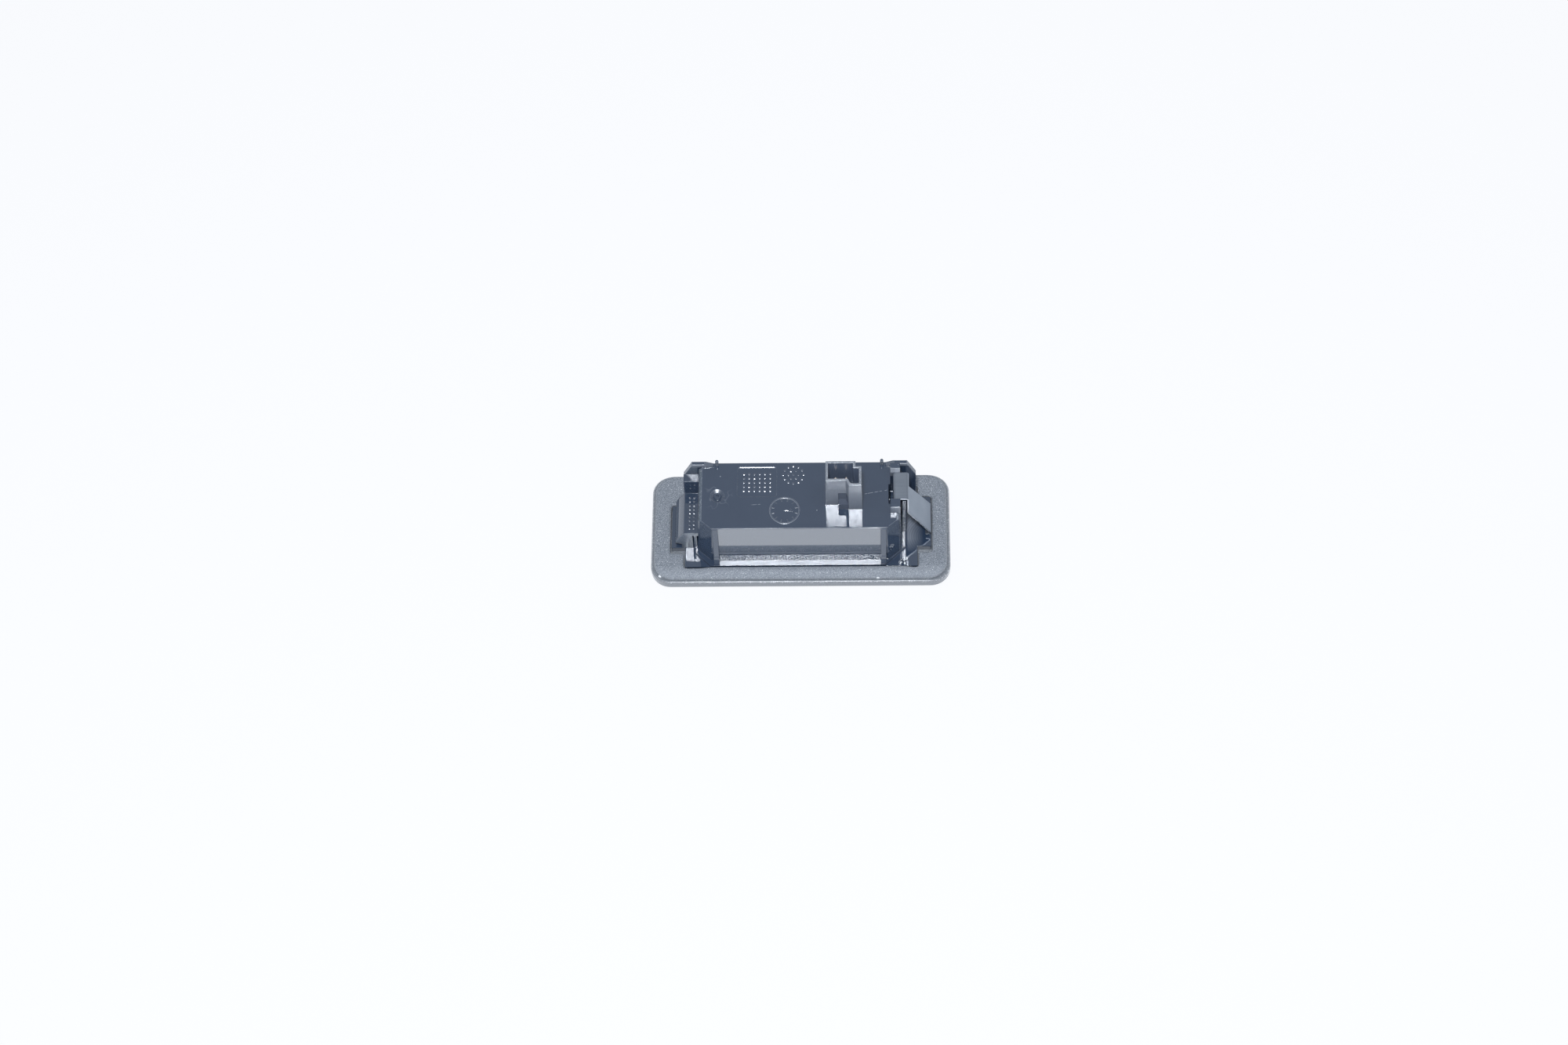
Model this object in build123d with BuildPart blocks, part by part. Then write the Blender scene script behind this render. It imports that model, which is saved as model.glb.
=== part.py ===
"""LED number plate lamp with a snap-in housing, lying on the front face of its bezel."""

import os

from build123d import *

os.makedirs("parts", exist_ok=True)

# Body of the housing: a box with cut near corners and walls that lean in towards its top.
# Root is the depth to which a raised feature is sunk into the body that carries it.
body_length = 47.1
body_depth = 18.1
body_height = 15.3
body_corner_x = 2.9
body_corner_y = 2.55
side_draft = 0.65
front_draft = 0.1
wall = 1.5
roof = 1.5
pocket_end = 3.65
root = 0.5
edge_round = 0.25
end_pad = 0.45
end_pad_foot = 0.2
end_pad_chamfer = 0.85

# Base flange and the low ledge round the foot of the body
flange_thick = 1.8
end_margin = 3.7
ledge_end = 1.1
ledge_near = 1.55
ledge_far = 1.4
ledge_rise = 0.6
ledge_corner_left = 3.75
ledge_corner_right = 5.0
tab_reach = 7.0
tab_near_inset = 5.35
tab_far_inset = 5.0
clip_tab_far_inset = 2.8
flange_shift = 0.2

# Foam gasket round the flange
gasket_thick = 2.0
gasket_gap = 0.25
gasket_tab_gap = 1.6
gasket_end_land = 3.85
gasket_near_land = 2.45
gasket_far_land = 3.6
gasket_corner = 4.6
gasket_round = 1.3

# Bezel frame and its window
bezel_thick = 2.4
bezel_border = 0.7
bezel_corner = 4.8
bezel_front_chamfer = 0.5
bezel_back_chamfer = 0.3
window_length = 39.0
window_depth = 14.4
window_corner = 2.0
window_chamfer = 0.5

# Clear lens, seated in the back of the bezel under the housing
lens_flange = 1.4
lens_flange_thick = 1.1
lens_recess = 0.3
lens_clear = 0.06
flute_pitch = 3.0
flute_depth = 0.22

# Pillars at the ends of the front wall and the textured plinth between them
pillar_gap = 38.6
pillar_width = 1.3
pillar_proud = 0.2
plinth_height = 3.3
plinth_proud = 0.2

# Fins at the two far corners
fin_thick = 1.1
fin_rise = 1.0
fin_reach = 4.25
fin_flat = 2.9
fin_ramp = 2.2
fin_corner_x = 2.2
fin_corner_z = 4.9
block_height = 12.2
block_depth = 2.1
peg_diameter = 0.8
peg_height = 1.9
peg_round = 0.2
peg_spacing = 39.3
peg_inset = 0.5

# Fixed hook at the left end and the rib between it and the end wall
hook_height = 6.85
hook_top = 3.5
hook_bulge = 0.25
hook_reach = 5.85
hook_tip_height = 2.45
hook_undercut = 0.75
hook_stem_reach = 4.25
hook_stem = 2.7
hook_cap = 1.3
hook_rib_gap = 0.55
hook_rib_thick = 0.7

# Spring clip, its pocket in the housing and the posts that guide it
clip_thick = 0.4
clip_width = 7.35
clip_flare = 0.35
clip_shift = 1.35
clip_leg = 6.5
clip_crown = 1.9
clip_span = 3.75
clip_drop = 6.4
clip_reach = 5.7
clip_tip_height = 1.35
clip_lip = 1.6
clip_lip_drop = 0.6
clip_bend = 0.7
clip_clear = 0.12
clip_rib_thick = 1.0
clip_rib_clear = 0.2
clip_rib_inset = 0.8
clip_rib_drop = 2.0
pocket_wall = 1.3
pocket_width = 1.5
pocket_depth = 7.0
pocket_step = 0.45
pocket_step_length = 2.2
saddle_round = 0.32
post_thick = 2.35
near_post_length = 2.5
far_post_length = 2.2
post_height = 2.45
post_chamfer = 0.8

# Connector shroud for a two-way plug
shroud_left = 6.25
shroud_width = 8.75
shroud_depth = 5.7
shroud_far_inset = 5.95
shroud_height = 10.9
shroud_wall = 0.75
shroud_draft = 0.8
shroud_step = 1.3
shroud_step_width = 3.25
shroud_step_slope = 0.6
shroud_notch_x = 1.4
shroud_notch_y = 1.4
shroud_rim_round = 0.15
latch_width = 2.3
latch_left = 3.1
latch_height = 2.2
latch_window = 3.0
latch_window_depth = 0.3

# Terminal pins
pin_width = 0.63
pin_pitch = 2.5
pin_left = 2.47
pin_from_far = 2.2
pin_height = 6.5
pin_tip = 0.8
pin_tip_width = 0.36
pin_clear = 0.03
pin_hole_clear = 0.03
pin_tail = 0.9

# Marks moulded in the top face
panel_length = 9.6
panel_width = 8.3
panel_corner = 0.8
panel_left = 8.7
panel_far_inset = 1.1
panel_deep = 0.12
panel_taper = 60
ring_diameter = 7.5
ring_line = 0.5
ring_crest = 0.1
ring_rise = 0.12
ring_left = 20.1
ring_near_inset = 5.0
gate_mouth = 3.6
gate_floor = 2.1
gate_deep = 0.45
gate_nub = 1.9
gate_nub_top = 1.7
gate_nub_deep = 0.15
gate_hole = 0.7
gate_left = 4.1
gate_near_inset = 9.1
top_edge_round = 0.2
top_side_chamfer = 0.5

# Circuit board staked to the roof
board_thick = 1.4
board_clear = 0.9
standoff = 2.0
boss_diameter = 3.2
stake_diameter = 1.5
stake_head = 2.7
stake_head_thick = 0.7
stake_head_taper = 20
stake_clear = 0.1
stake_inset = 2.6
stake_far_inset = 2.9

# Parts on the board
led_length = 3.5
led_width = 2.8
led_thick = 0.9
led_cup = 2.2
led_cup_deep = 0.35
led_pitch = 11.5
led_clear = 1.45
solder_radius = 0.9
solder_height = 0.75
solder_taper = 25
chip_count = 4
chip_pitch = 4.4
chip_length = 3.2
chip_width = 1.6
chip_thick = 0.6
chip_cap = 0.45
chip_cap_rise = 0.06
chip_far_inset = 3.2
chip_first = 6.6
capacitor_length = 2.0
capacitor_width = 1.25
capacitor_thick = 1.1
capacitor_cap = 0.4
capacitor_cap_rise = 0.05
diode_length = 4.2
diode_width = 2.6
diode_thick = 2.1
diode_taper = 6
diode_lead = 0.6
diode_lead_width = 1.5
diode_lead_thick = 0.25

# Heights above the front face of the bezel
flange_top = bezel_thick + flange_thick
ledge_top = flange_top + ledge_rise
body_top = flange_top + body_height
roof_under = body_top - roof
board_top = roof_under - standoff
board_under = board_top - board_thick
hook_top_z = flange_top + hook_height
pin_tip_z = body_top + pin_height

# Lengths and depths, worked out from the body outwards
foot_half = body_length / 2 + side_draft
flange_half = foot_half + end_margin
tab_half = foot_half + tab_reach
gasket_length = 2 * (tab_half + gasket_gap + gasket_end_land)
bezel_length = gasket_length + 2 * bezel_border
foot_depth = front_draft + body_depth + side_draft
flange_depth = ledge_near + foot_depth + ledge_far
gasket_depth = gasket_near_land + 2 * gasket_gap + flange_depth + gasket_far_land
bezel_depth = gasket_depth + 2 * bezel_border

# Places along the depth; the near side faces -Y
gasket_near = -gasket_depth / 2
flange_near = gasket_near + gasket_near_land + gasket_gap
flange_far = flange_near + flange_depth
foot_near = flange_near + ledge_near
foot_far = foot_near + foot_depth
top_near = foot_near + front_draft
top_far = top_near + body_depth
tab_near = flange_near + tab_near_inset
tab_far = flange_far - tab_far_inset
clip_tab_far = flange_far - clip_tab_far_inset
top_half = body_length / 2

# Cavity of the body, shorter at the right end where the clip pocket is
cavity_left = -top_half + wall
cavity_right = top_half - pocket_end
cavity_near = foot_near + wall
cavity_far = top_far - wall
cavity_mid_x = (cavity_left + cavity_right) / 2
cavity_mid_y = (cavity_near + cavity_far) / 2

# Connector places
shroud_far = top_far - shroud_far_inset
shroud_near = shroud_far - shroud_depth
shroud_right = shroud_left + shroud_width
step_left = shroud_right - shroud_step_width
pin_first_x = shroud_left + pin_left
pin_y = shroud_far - pin_from_far
pin_places = [pin_first_x, pin_first_x + pin_pitch]

# Spring clip places; the strip's inner face lies on the saddle wall
saddle_right = top_half + end_pad
saddle_left = saddle_right - pocket_wall
pocket_left = saddle_left - pocket_width
clip_mid_y = (top_near + top_far) / 2 + clip_shift
clip_leg_x = saddle_left - clip_thick
crown_z = body_top + clip_crown
clip_out_x = clip_leg_x + clip_span
knee_z = crown_z - clip_drop
clip_tip_x = clip_out_x + clip_reach
clip_tip_z = flange_top + clip_tip_height
saddle_top = crown_z - clip_thick
clip_near = clip_mid_y - clip_width / 2 - clip_clear
clip_far = clip_mid_y + clip_width / 2 + clip_clear

# Board places
board_length = cavity_right - cavity_left - 2 * board_clear
board_depth = cavity_far - cavity_near - 2 * board_clear
board_far = cavity_mid_y + board_depth / 2
board_left = cavity_mid_x - board_length / 2
board_right = cavity_mid_x + board_length / 2
stake_y = board_far - stake_far_inset
stake_places = [(board_left + stake_inset, stake_y), (board_right - stake_inset, stake_y)]
led_y = pin_y - solder_radius - led_clear - led_width / 2
led_places = [cavity_mid_x - led_pitch, cavity_mid_x, cavity_mid_x + led_pitch]
chip_y = board_far - chip_far_inset
chip_places = [board_left + chip_first + n * chip_pitch for n in range(chip_count)]
diode_x = (chip_places[-1] + chip_length / 2 + pin_first_x) / 2 - solder_radius / 2
capacitor_x = (pin_places[-1] + board_right) / 2


def cut_corner_points(half, near, far, left_cut, right_cut):
    """Corners of a box outline whose two near corners are cut off, each by its own length and depth."""
    return [
        (-half, far),
        (-half, near + left_cut[1]),
        (-half + left_cut[0], near),
        (half - right_cut[0], near),
        (half, near + right_cut[1]),
        (half, far),
    ]


def tabbed_outline(gap, tab_gap):
    """Outline of the base flange with its two end tabs, grown by a gap all round."""
    with Locations((flange_shift, (flange_near + flange_far) / 2)):
        Rectangle(2 * (flange_half + gap), flange_depth + 2 * gap)
    for side, far in ((Align.MAX, tab_far), (Align.MIN, clip_tab_far)):
        with Locations((flange_shift, tab_near - tab_gap)):
            Rectangle(tab_half + gap, far + gap - tab_near + tab_gap, align=(side, Align.MIN))


def shroud_points(inset):
    """Plan of the connector shroud, stepped forward on its right and notched at its far right corner."""
    slant = (shroud_step**2 + shroud_step_slope**2) ** 0.5
    shift = inset * (slant - shroud_step_slope) / shroud_step
    notch_left = shroud_right - shroud_notch_x - inset
    notch_near = shroud_far - shroud_notch_y - inset
    return [
        (shroud_left + inset, shroud_far - inset),
        (shroud_left + inset, shroud_near + inset),
        (step_left - shroud_step_slope + shift, shroud_near + inset),
        (step_left + shift, shroud_near - shroud_step + inset),
        (shroud_right - inset, shroud_near - shroud_step + inset),
        (shroud_right - inset, notch_near),
        (notch_left, notch_near),
        (notch_left, shroud_far - inset),
    ]


# Plans of the ledge, of the foot of the body and of its top face
body_cut = (body_corner_x, body_corner_y)
foot_points = cut_corner_points(foot_half, foot_near, foot_far, body_cut, body_cut)
top_points = cut_corner_points(top_half, top_near, top_far, body_cut, body_cut)
ledge_points = cut_corner_points(
    foot_half + ledge_end,
    flange_near,
    flange_far,
    (ledge_corner_left, ledge_corner_left),
    (ledge_corner_right, ledge_corner_right),
)

# Bezel: flat frame with chamfered outer edges, a window and a rebate for the lens
with BuildPart() as bezel:
    with BuildSketch():
        RectangleRounded(bezel_length, bezel_depth, bezel_corner)
    extrude(amount=bezel_thick)
    chamfer(bezel.faces().sort_by(Axis.Z)[0].edges(), bezel_front_chamfer)
    chamfer(bezel.faces().sort_by(Axis.Z)[-1].edges(), bezel_back_chamfer)
    with BuildSketch():
        with Locations((cavity_mid_x, cavity_mid_y)):
            RectangleRounded(window_length, window_depth, window_corner)
    extrude(amount=bezel_thick, mode=Mode.SUBTRACT)
    window_rim = bezel.faces().sort_by(Axis.Z)[0].inner_wires().edges()
    chamfer(window_rim, window_chamfer)
    with BuildSketch(Plane.XY.offset(bezel_thick - lens_flange_thick)):
        with Locations((cavity_mid_x, cavity_mid_y)):
            RectangleRounded(
                window_length + 2 * (lens_flange + lens_clear),
                window_depth + 2 * (lens_flange + lens_clear),
                window_corner + lens_flange,
            )
    extrude(amount=lens_flange_thick, mode=Mode.SUBTRACT)
bezel.part.label = "bezel"
export_step(bezel.part, "parts/bezel.step")

# Lens: clear plate that stands in the window, fluted on its inner face
with BuildPart() as lens:
    with BuildSketch(Plane.XY.offset(bezel_thick - lens_flange_thick)):
        with Locations((cavity_mid_x, cavity_mid_y)):
            RectangleRounded(
                window_length + 2 * lens_flange,
                window_depth + 2 * lens_flange,
                window_corner + lens_flange,
            )
    extrude(amount=lens_flange_thick)
    with BuildSketch(Plane.XY.offset(lens_recess)):
        with Locations((cavity_mid_x, cavity_mid_y)):
            RectangleRounded(
                window_length - 2 * lens_clear,
                window_depth - 2 * lens_clear,
                window_corner,
            )
    extrude(until=Until.NEXT)
    flute_radius = (flute_pitch**2 / 4 + flute_depth**2) / (2 * flute_depth)
    flute_count = int((window_length - flute_pitch) / flute_pitch)
    with BuildSketch(Plane.XZ.offset(window_depth / 2 - cavity_mid_y - lens_flange)):
        with Locations((cavity_mid_x, bezel_thick - flute_depth + flute_radius)):
            with GridLocations(flute_pitch, 0, flute_count, 1):
                Circle(flute_radius)
    extrude(amount=-(window_depth - 2 * lens_flange), mode=Mode.SUBTRACT)
lens.part.label = "lens"
export_step(lens.part, "parts/lens.step")

# Gasket: foam ring with a rolled outer edge, cut to the outline of the flange
with BuildPart() as gasket:
    with BuildSketch(Plane.XY.offset(bezel_thick)):
        RectangleRounded(gasket_length, gasket_depth, gasket_corner)
    extrude(amount=gasket_thick)
    fillet(gasket.faces().sort_by(Axis.Z)[-1].edges(), gasket_round)
    with BuildSketch(Plane.XY.offset(bezel_thick)):
        tabbed_outline(gasket_gap, gasket_tab_gap)
    extrude(amount=gasket_thick, mode=Mode.SUBTRACT)
gasket.part.label = "gasket"
export_step(gasket.part, "parts/gasket.step")

# Housing: one moulding
with BuildPart() as housing:
    # Base flange with a tab under the hook and one under the clip
    with BuildSketch(Plane.XY.offset(bezel_thick)):
        tabbed_outline(0, 0)
    extrude(amount=flange_thick)

    # Low ledge round the foot of the body
    with BuildSketch(Plane.XY.offset(flange_top)):
        with BuildLine():
            Polyline(*ledge_points, close=True)
        make_face()
    extrude(amount=ledge_rise)

    # Body walls lean in from the foot to the top face
    with BuildSketch(Plane.XY.offset(flange_top)):
        with BuildLine():
            Polyline(*foot_points, close=True)
        make_face()
    with BuildSketch(Plane.XY.offset(body_top)):
        with BuildLine():
            Polyline(*top_points, close=True)
        make_face()
    loft()
    side_rim = housing.faces().sort_by(Axis.Z)[-1].edges().filter_by(Axis.Y)
    chamfer(side_rim.sort_by(Axis.X)[-1], top_side_chamfer)
    near_rim = housing.faces().sort_by(Axis.Z)[-1].edges().sort_by(Axis.Y)[:3]
    fillet(near_rim, top_edge_round)

    # Pad on each end wall; the left one has a chamfered top edge, the right one carries the clip
    post_ends = (clip_near - near_post_length, clip_far + far_post_length)
    for side, pad_near, pad_far in ((-1, top_near + body_corner_y, top_far), (1, *post_ends)):
        with BuildSketch(Plane.XZ.offset(-pad_far)):
            with BuildLine():
                Polyline(
                    (side * (top_half - wall), flange_top),
                    (side * (foot_half + end_pad_foot), flange_top),
                    (side * (top_half + end_pad), body_top),
                    (side * (top_half - wall), body_top),
                    close=True,
                )
            make_face()
        extrude(amount=pad_far - pad_near)
    pad_x = -top_half - end_pad
    with BuildSketch(Plane.XZ.offset(-top_far)):
        with BuildLine():
            Polyline(
                (pad_x, body_top - end_pad_chamfer),
                (pad_x, body_top),
                (pad_x + end_pad_chamfer, body_top),
                close=True,
            )
        make_face()
    extrude(amount=body_depth, mode=Mode.SUBTRACT)

    # Pillars at the ends of the front wall, leaning out to the ledge
    for pillar_left in (-pillar_gap / 2 - pillar_width, pillar_gap / 2):
        with BuildSketch(Plane.YZ.offset(pillar_left)):
            with BuildLine():
                Polyline(
                    (top_near + wall, body_top),
                    (top_near - pillar_proud, body_top - top_edge_round),
                    (flange_near, flange_top),
                    (foot_near + wall, flange_top),
                    close=True,
                )
            make_face()
        extrude(amount=pillar_width)

    # Plinth along the foot of the front wall
    with BuildSketch(Plane.XY.offset(ledge_top)):
        with Locations((0, foot_near - plinth_proud)):
            Rectangle(pillar_gap, wall, align=(Align.CENTER, Align.MIN))
    extrude(amount=plinth_height)

    # Fins at the far corners, rising above the top face
    for side in (-1, 1):
        fin_outer = top_half + fin_reach
        fin_crest = fin_outer - fin_corner_x
        with BuildSketch(Plane.XZ.offset(-top_far)):
            with BuildLine():
                Polyline(
                    (side * (top_half - wall), flange_top),
                    (side * (fin_crest - fin_flat - fin_ramp), body_top - fin_rise),
                    (side * (fin_crest - fin_flat - fin_ramp), body_top),
                    (side * (fin_crest - fin_flat), body_top + fin_rise),
                    (side * fin_crest, body_top + fin_rise),
                    (side * fin_outer, body_top + fin_rise - fin_corner_z),
                    (side * fin_outer, flange_top),
                    close=True,
                )
            make_face()
        extrude(amount=fin_thick)
    fin_crest_z = body_top + fin_rise
    fin_rim = housing.edges().filter_by(Axis.X).filter_by_position(Axis.Z, fin_crest_z, fin_crest_z)
    fillet(fin_rim, edge_round)

    # Block that closes the far end of the hook
    with BuildSketch(Plane.XY.offset(flange_top)):
        with Locations((-top_half, top_far - fin_thick)):
            Rectangle(fin_reach, block_depth, align=(Align.MAX, Align.MAX))
            Rectangle(wall, block_depth, align=(Align.MIN, Align.MAX))
    extrude(amount=block_height)
    block_top = flange_top + block_height
    block_rim = housing.edges().filter_by(Axis.X).filter_by_position(Axis.Z, block_top, block_top)
    fillet(block_rim.sort_by(Axis.Y)[0], edge_round)

    # Pegs on the far edge
    with BuildSketch(Plane.XY.offset(body_top - root)):
        with Locations((0, top_far - peg_inset)):
            with GridLocations(peg_spacing, 0, 2, 1):
                Circle(peg_diameter / 2)
    extrude(amount=peg_height + root)
    peg_tips = housing.faces().sort_by(Axis.Z)[-2:]
    fillet(peg_tips.edges(), peg_round)

    # Hook: a stem under a cap that joins the wall, with a rounded lead-in to its tip
    hook_far = top_far - fin_thick - block_depth
    hook_near = tab_near
    tip_x = -foot_half - hook_reach
    tip_z = flange_top + hook_tip_height
    with BuildSketch(Plane.XZ.offset(-hook_far)):
        with BuildLine():
            slope_start = (-foot_half - hook_top, hook_top_z)
            slope_end = (tip_x, tip_z)
            SagittaArc(slope_start, slope_end, -hook_bulge)
            Polyline(
                slope_end,
                (-foot_half - hook_stem_reach, tip_z - hook_undercut),
                (-foot_half - hook_stem_reach, flange_top - root),
                (-foot_half - hook_stem_reach + hook_stem, flange_top - root),
                (-foot_half - hook_stem_reach + hook_stem, hook_top_z - hook_cap),
                (-top_half + root, hook_top_z - hook_cap),
                (-top_half + root, hook_top_z),
                slope_start,
            )
        make_face()
    extrude(amount=hook_far - hook_near)
    hook_rim = housing.edges().filter_by(Axis.X).filter_by_position(Axis.Z, hook_top_z, hook_top_z)
    fillet(hook_rim.sort_by(Axis.Y)[0], edge_round)

    # Rib beside the left end wall, as high as the hook
    with BuildSketch(Plane.XY.offset(flange_top)):
        with Locations((-foot_half - hook_rib_gap, hook_near)):
            Rectangle(hook_rib_thick, hook_far - hook_near, align=(Align.MAX, Align.MIN))
    extrude(amount=hook_height)

    # Rib that stands inside the outer leg of the spring clip
    with BuildSketch(Plane.XY.offset(flange_top)):
        with Locations((clip_out_x - clip_thick - clip_rib_clear, clip_mid_y)):
            Rectangle(
                clip_rib_thick,
                clip_width - 2 * clip_rib_inset,
                align=(Align.MAX, Align.CENTER),
            )
    extrude(amount=saddle_top - clip_rib_drop - flange_top)

    # Saddle and the posts that guide the strip of the spring clip
    with BuildSketch(Plane.XY.offset(body_top)):
        with Locations((saddle_right, clip_near)):
            Rectangle(pocket_wall, clip_far - clip_near, align=(Align.MAX, Align.MIN))
    extrude(amount=saddle_top - body_top)
    saddle_rim = housing.edges().filter_by(Axis.Y).filter_by_position(Axis.Z, saddle_top, saddle_top)
    fillet(saddle_rim, saddle_round)
    with BuildSketch(Plane.XY.offset(body_top)):
        with Locations((saddle_right, clip_near)):
            Rectangle(post_thick, near_post_length, align=(Align.MAX, Align.MAX))
        with Locations((saddle_right, clip_far)):
            Rectangle(post_thick, far_post_length, align=(Align.MAX, Align.MIN))
    extrude(amount=post_height)
    post_top = body_top + post_height
    post_rim = housing.edges().filter_by(Axis.X).filter_by_position(Axis.Z, post_top, post_top)
    fillet(post_rim.sort_by(Axis.Y)[0], edge_round)
    far_post_rim = housing.faces().sort_by(Axis.Z)[-2:].sort_by(Axis.Y)[-1].edges().filter_by(Axis.X)
    chamfer(far_post_rim.sort_by(Axis.Y)[0], post_chamfer)

    # Blind pocket for the inner leg of the clip, narrower at its far end
    with BuildSketch(Plane.XY.offset(body_top)):
        with Locations((pocket_left, clip_near)):
            Rectangle(pocket_width, clip_far - clip_near, align=(Align.MIN, Align.MIN))
        with Locations((pocket_left, clip_far)):
            Rectangle(
                pocket_step,
                pocket_step_length,
                align=(Align.MIN, Align.MAX),
                mode=Mode.SUBTRACT,
            )
    extrude(amount=-pocket_depth, mode=Mode.SUBTRACT)

    # Connector shroud, its latch nose and the shallow window above the nose
    with BuildSketch(Plane.XY.offset(body_top)):
        with BuildLine():
            Polyline(*shroud_points(0), close=True)
        make_face()
    extrude(amount=shroud_height, taper=shroud_draft)
    latch_x = shroud_left + latch_left
    with BuildSketch(Plane.XY.offset(body_top)):
        with Locations((latch_x, shroud_near - shroud_step)):
            Rectangle(latch_width, shroud_step + root, align=(Align.MIN, Align.MIN))
    extrude(amount=latch_height)
    with BuildSketch(Plane.XY.offset(body_top + latch_height)):
        with Locations((latch_x, shroud_near + latch_window_depth)):
            Rectangle(
                step_left - shroud_step_slope - latch_x,
                shroud_step,
                align=(Align.MIN, Align.MAX),
            )
    extrude(amount=latch_window, mode=Mode.SUBTRACT)
    with BuildSketch(Plane.XY.offset(body_top)):
        with BuildLine():
            Polyline(*shroud_points(shroud_wall), close=True)
        make_face()
    extrude(amount=shroud_height, mode=Mode.SUBTRACT)
    shroud_rim = housing.faces().sort_by(Axis.Z)[-1].outer_wire().edges()
    fillet(shroud_rim, shroud_rim_round)

    # Marks in the top face: a sunk panel with sloping edges, a plain ring and the dished gate mark
    with BuildSketch(Plane.XY.offset(body_top)):
        with Locations((-top_half + panel_left, top_far - panel_far_inset)):
            with Locations((panel_length / 2, -panel_width / 2)):
                RectangleRounded(panel_length, panel_width, panel_corner)
    extrude(amount=-panel_deep, taper=panel_taper, mode=Mode.SUBTRACT)
    ring_x = -top_half + ring_left
    ring_y = top_near + ring_near_inset
    ring_mid = ring_x + (ring_diameter - ring_line) / 2
    with BuildSketch(Plane.XZ.offset(-ring_y)):
        with BuildLine():
            Polyline(
                (ring_mid - ring_line / 2, body_top - root),
                (ring_mid + ring_line / 2, body_top - root),
                (ring_mid + ring_line / 2, body_top),
                (ring_mid + ring_crest / 2, body_top + ring_rise),
                (ring_mid - ring_crest / 2, body_top + ring_rise),
                (ring_mid - ring_line / 2, body_top),
                close=True,
            )
        make_face()
    revolve(axis=Axis((ring_x, ring_y, 0), (0, 0, 1)))
    gate_x = -top_half + gate_left
    gate_y = top_near + gate_near_inset
    with BuildSketch(Plane.XZ.offset(-gate_y)):
        with BuildLine():
            Polyline(
                (gate_x, body_top),
                (gate_x + gate_mouth / 2, body_top),
                (gate_x + gate_floor / 2, body_top - gate_deep),
                (gate_x + gate_nub / 2, body_top - gate_deep),
                (gate_x + gate_nub_top / 2, body_top - gate_nub_deep),
                (gate_x + gate_hole / 2, body_top - gate_nub_deep),
                (gate_x + gate_hole / 2, body_top - gate_deep),
                (gate_x, body_top - gate_deep),
                close=True,
            )
        make_face()
    revolve(axis=Axis((gate_x, gate_y, 0), (0, 0, 1)), mode=Mode.SUBTRACT)

    # Cavity behind the lens, with a boss and stake at each end of the board
    with BuildSketch(Plane.XY.offset(bezel_thick)):
        with Locations((cavity_mid_x, cavity_mid_y)):
            Rectangle(cavity_right - cavity_left, cavity_far - cavity_near)
    extrude(amount=roof_under - bezel_thick, mode=Mode.SUBTRACT)
    with BuildSketch(Plane.XY.offset(roof_under)):
        with Locations(*stake_places):
            Circle(boss_diameter / 2)
    extrude(amount=-standoff)
    with BuildSketch(Plane.XY.offset(board_top)):
        with Locations(*stake_places):
            Circle(stake_diameter / 2)
    extrude(amount=-board_thick)
    with BuildSketch(Plane.XY.offset(board_under)):
        with Locations(*stake_places):
            Circle(stake_head / 2)
    extrude(amount=-stake_head_thick, taper=stake_head_taper)

    # Square holes for the pins
    with BuildSketch(Plane.XY.offset(body_top)):
        with Locations(*[(x, pin_y) for x in pin_places]):
            Rectangle(pin_width + 2 * pin_clear, pin_width + 2 * pin_clear)
    extrude(amount=-roof, mode=Mode.SUBTRACT)
housing.part.label = "housing"
export_step(housing.part, "parts/housing.step")

# Spring clip: strip bent over the saddle, down the outside and out to a sprung leaf
with BuildPart() as spring_clip:
    with BuildSketch(Plane.XZ.offset(-clip_mid_y - clip_width / 2 - clip_flare)):
        with BuildLine():
            FilletPolyline(
                (clip_leg_x, body_top - clip_leg),
                (clip_leg_x, crown_z),
                (clip_out_x, crown_z),
                (clip_out_x, knee_z),
                (clip_tip_x, clip_tip_z),
                (clip_tip_x - clip_lip, clip_tip_z - clip_lip_drop),
                radius=clip_bend,
            )
            offset(amount=clip_thick, side=Side.LEFT)
        make_face()
    extrude(amount=clip_width + 2 * clip_flare)
    # The strip is narrower above the knee and flares towards the tip
    for side in (-1, 1):
        with BuildSketch(Plane.YZ.offset(clip_leg_x - clip_thick)):
            with BuildLine():
                Polyline(
                    (clip_mid_y + side * clip_width / 2, crown_z + clip_thick),
                    (clip_mid_y + side * clip_width / 2, knee_z),
                    (clip_mid_y + side * (clip_width / 2 + clip_flare), clip_tip_z - clip_lip),
                    (clip_mid_y + side * (clip_width / 2 + 2 * clip_flare), clip_tip_z - clip_lip),
                    (clip_mid_y + side * (clip_width / 2 + 2 * clip_flare), crown_z + clip_thick),
                    close=True,
                )
            make_face()
        extrude(amount=clip_tip_x - clip_leg_x + 2 * clip_thick, mode=Mode.SUBTRACT)
spring_clip.part.label = "spring_clip"
export_step(spring_clip.part, "parts/spring_clip.step")

# Circuit board with holes for the stakes and the pins
with BuildPart() as circuit_board:
    with BuildSketch(Plane.XY.offset(board_under)):
        with Locations((cavity_mid_x, cavity_mid_y)):
            Rectangle(board_length, board_depth)
        with Locations(*stake_places):
            Circle(stake_diameter / 2 + stake_clear, mode=Mode.SUBTRACT)
        with Locations(*[(x, pin_y) for x in pin_places]):
            Circle(pin_width / 2**0.5 + pin_hole_clear, mode=Mode.SUBTRACT)
    extrude(amount=board_thick)
circuit_board.part.label = "circuit_board"
export_step(circuit_board.part, "parts/circuit_board.step")

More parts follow.
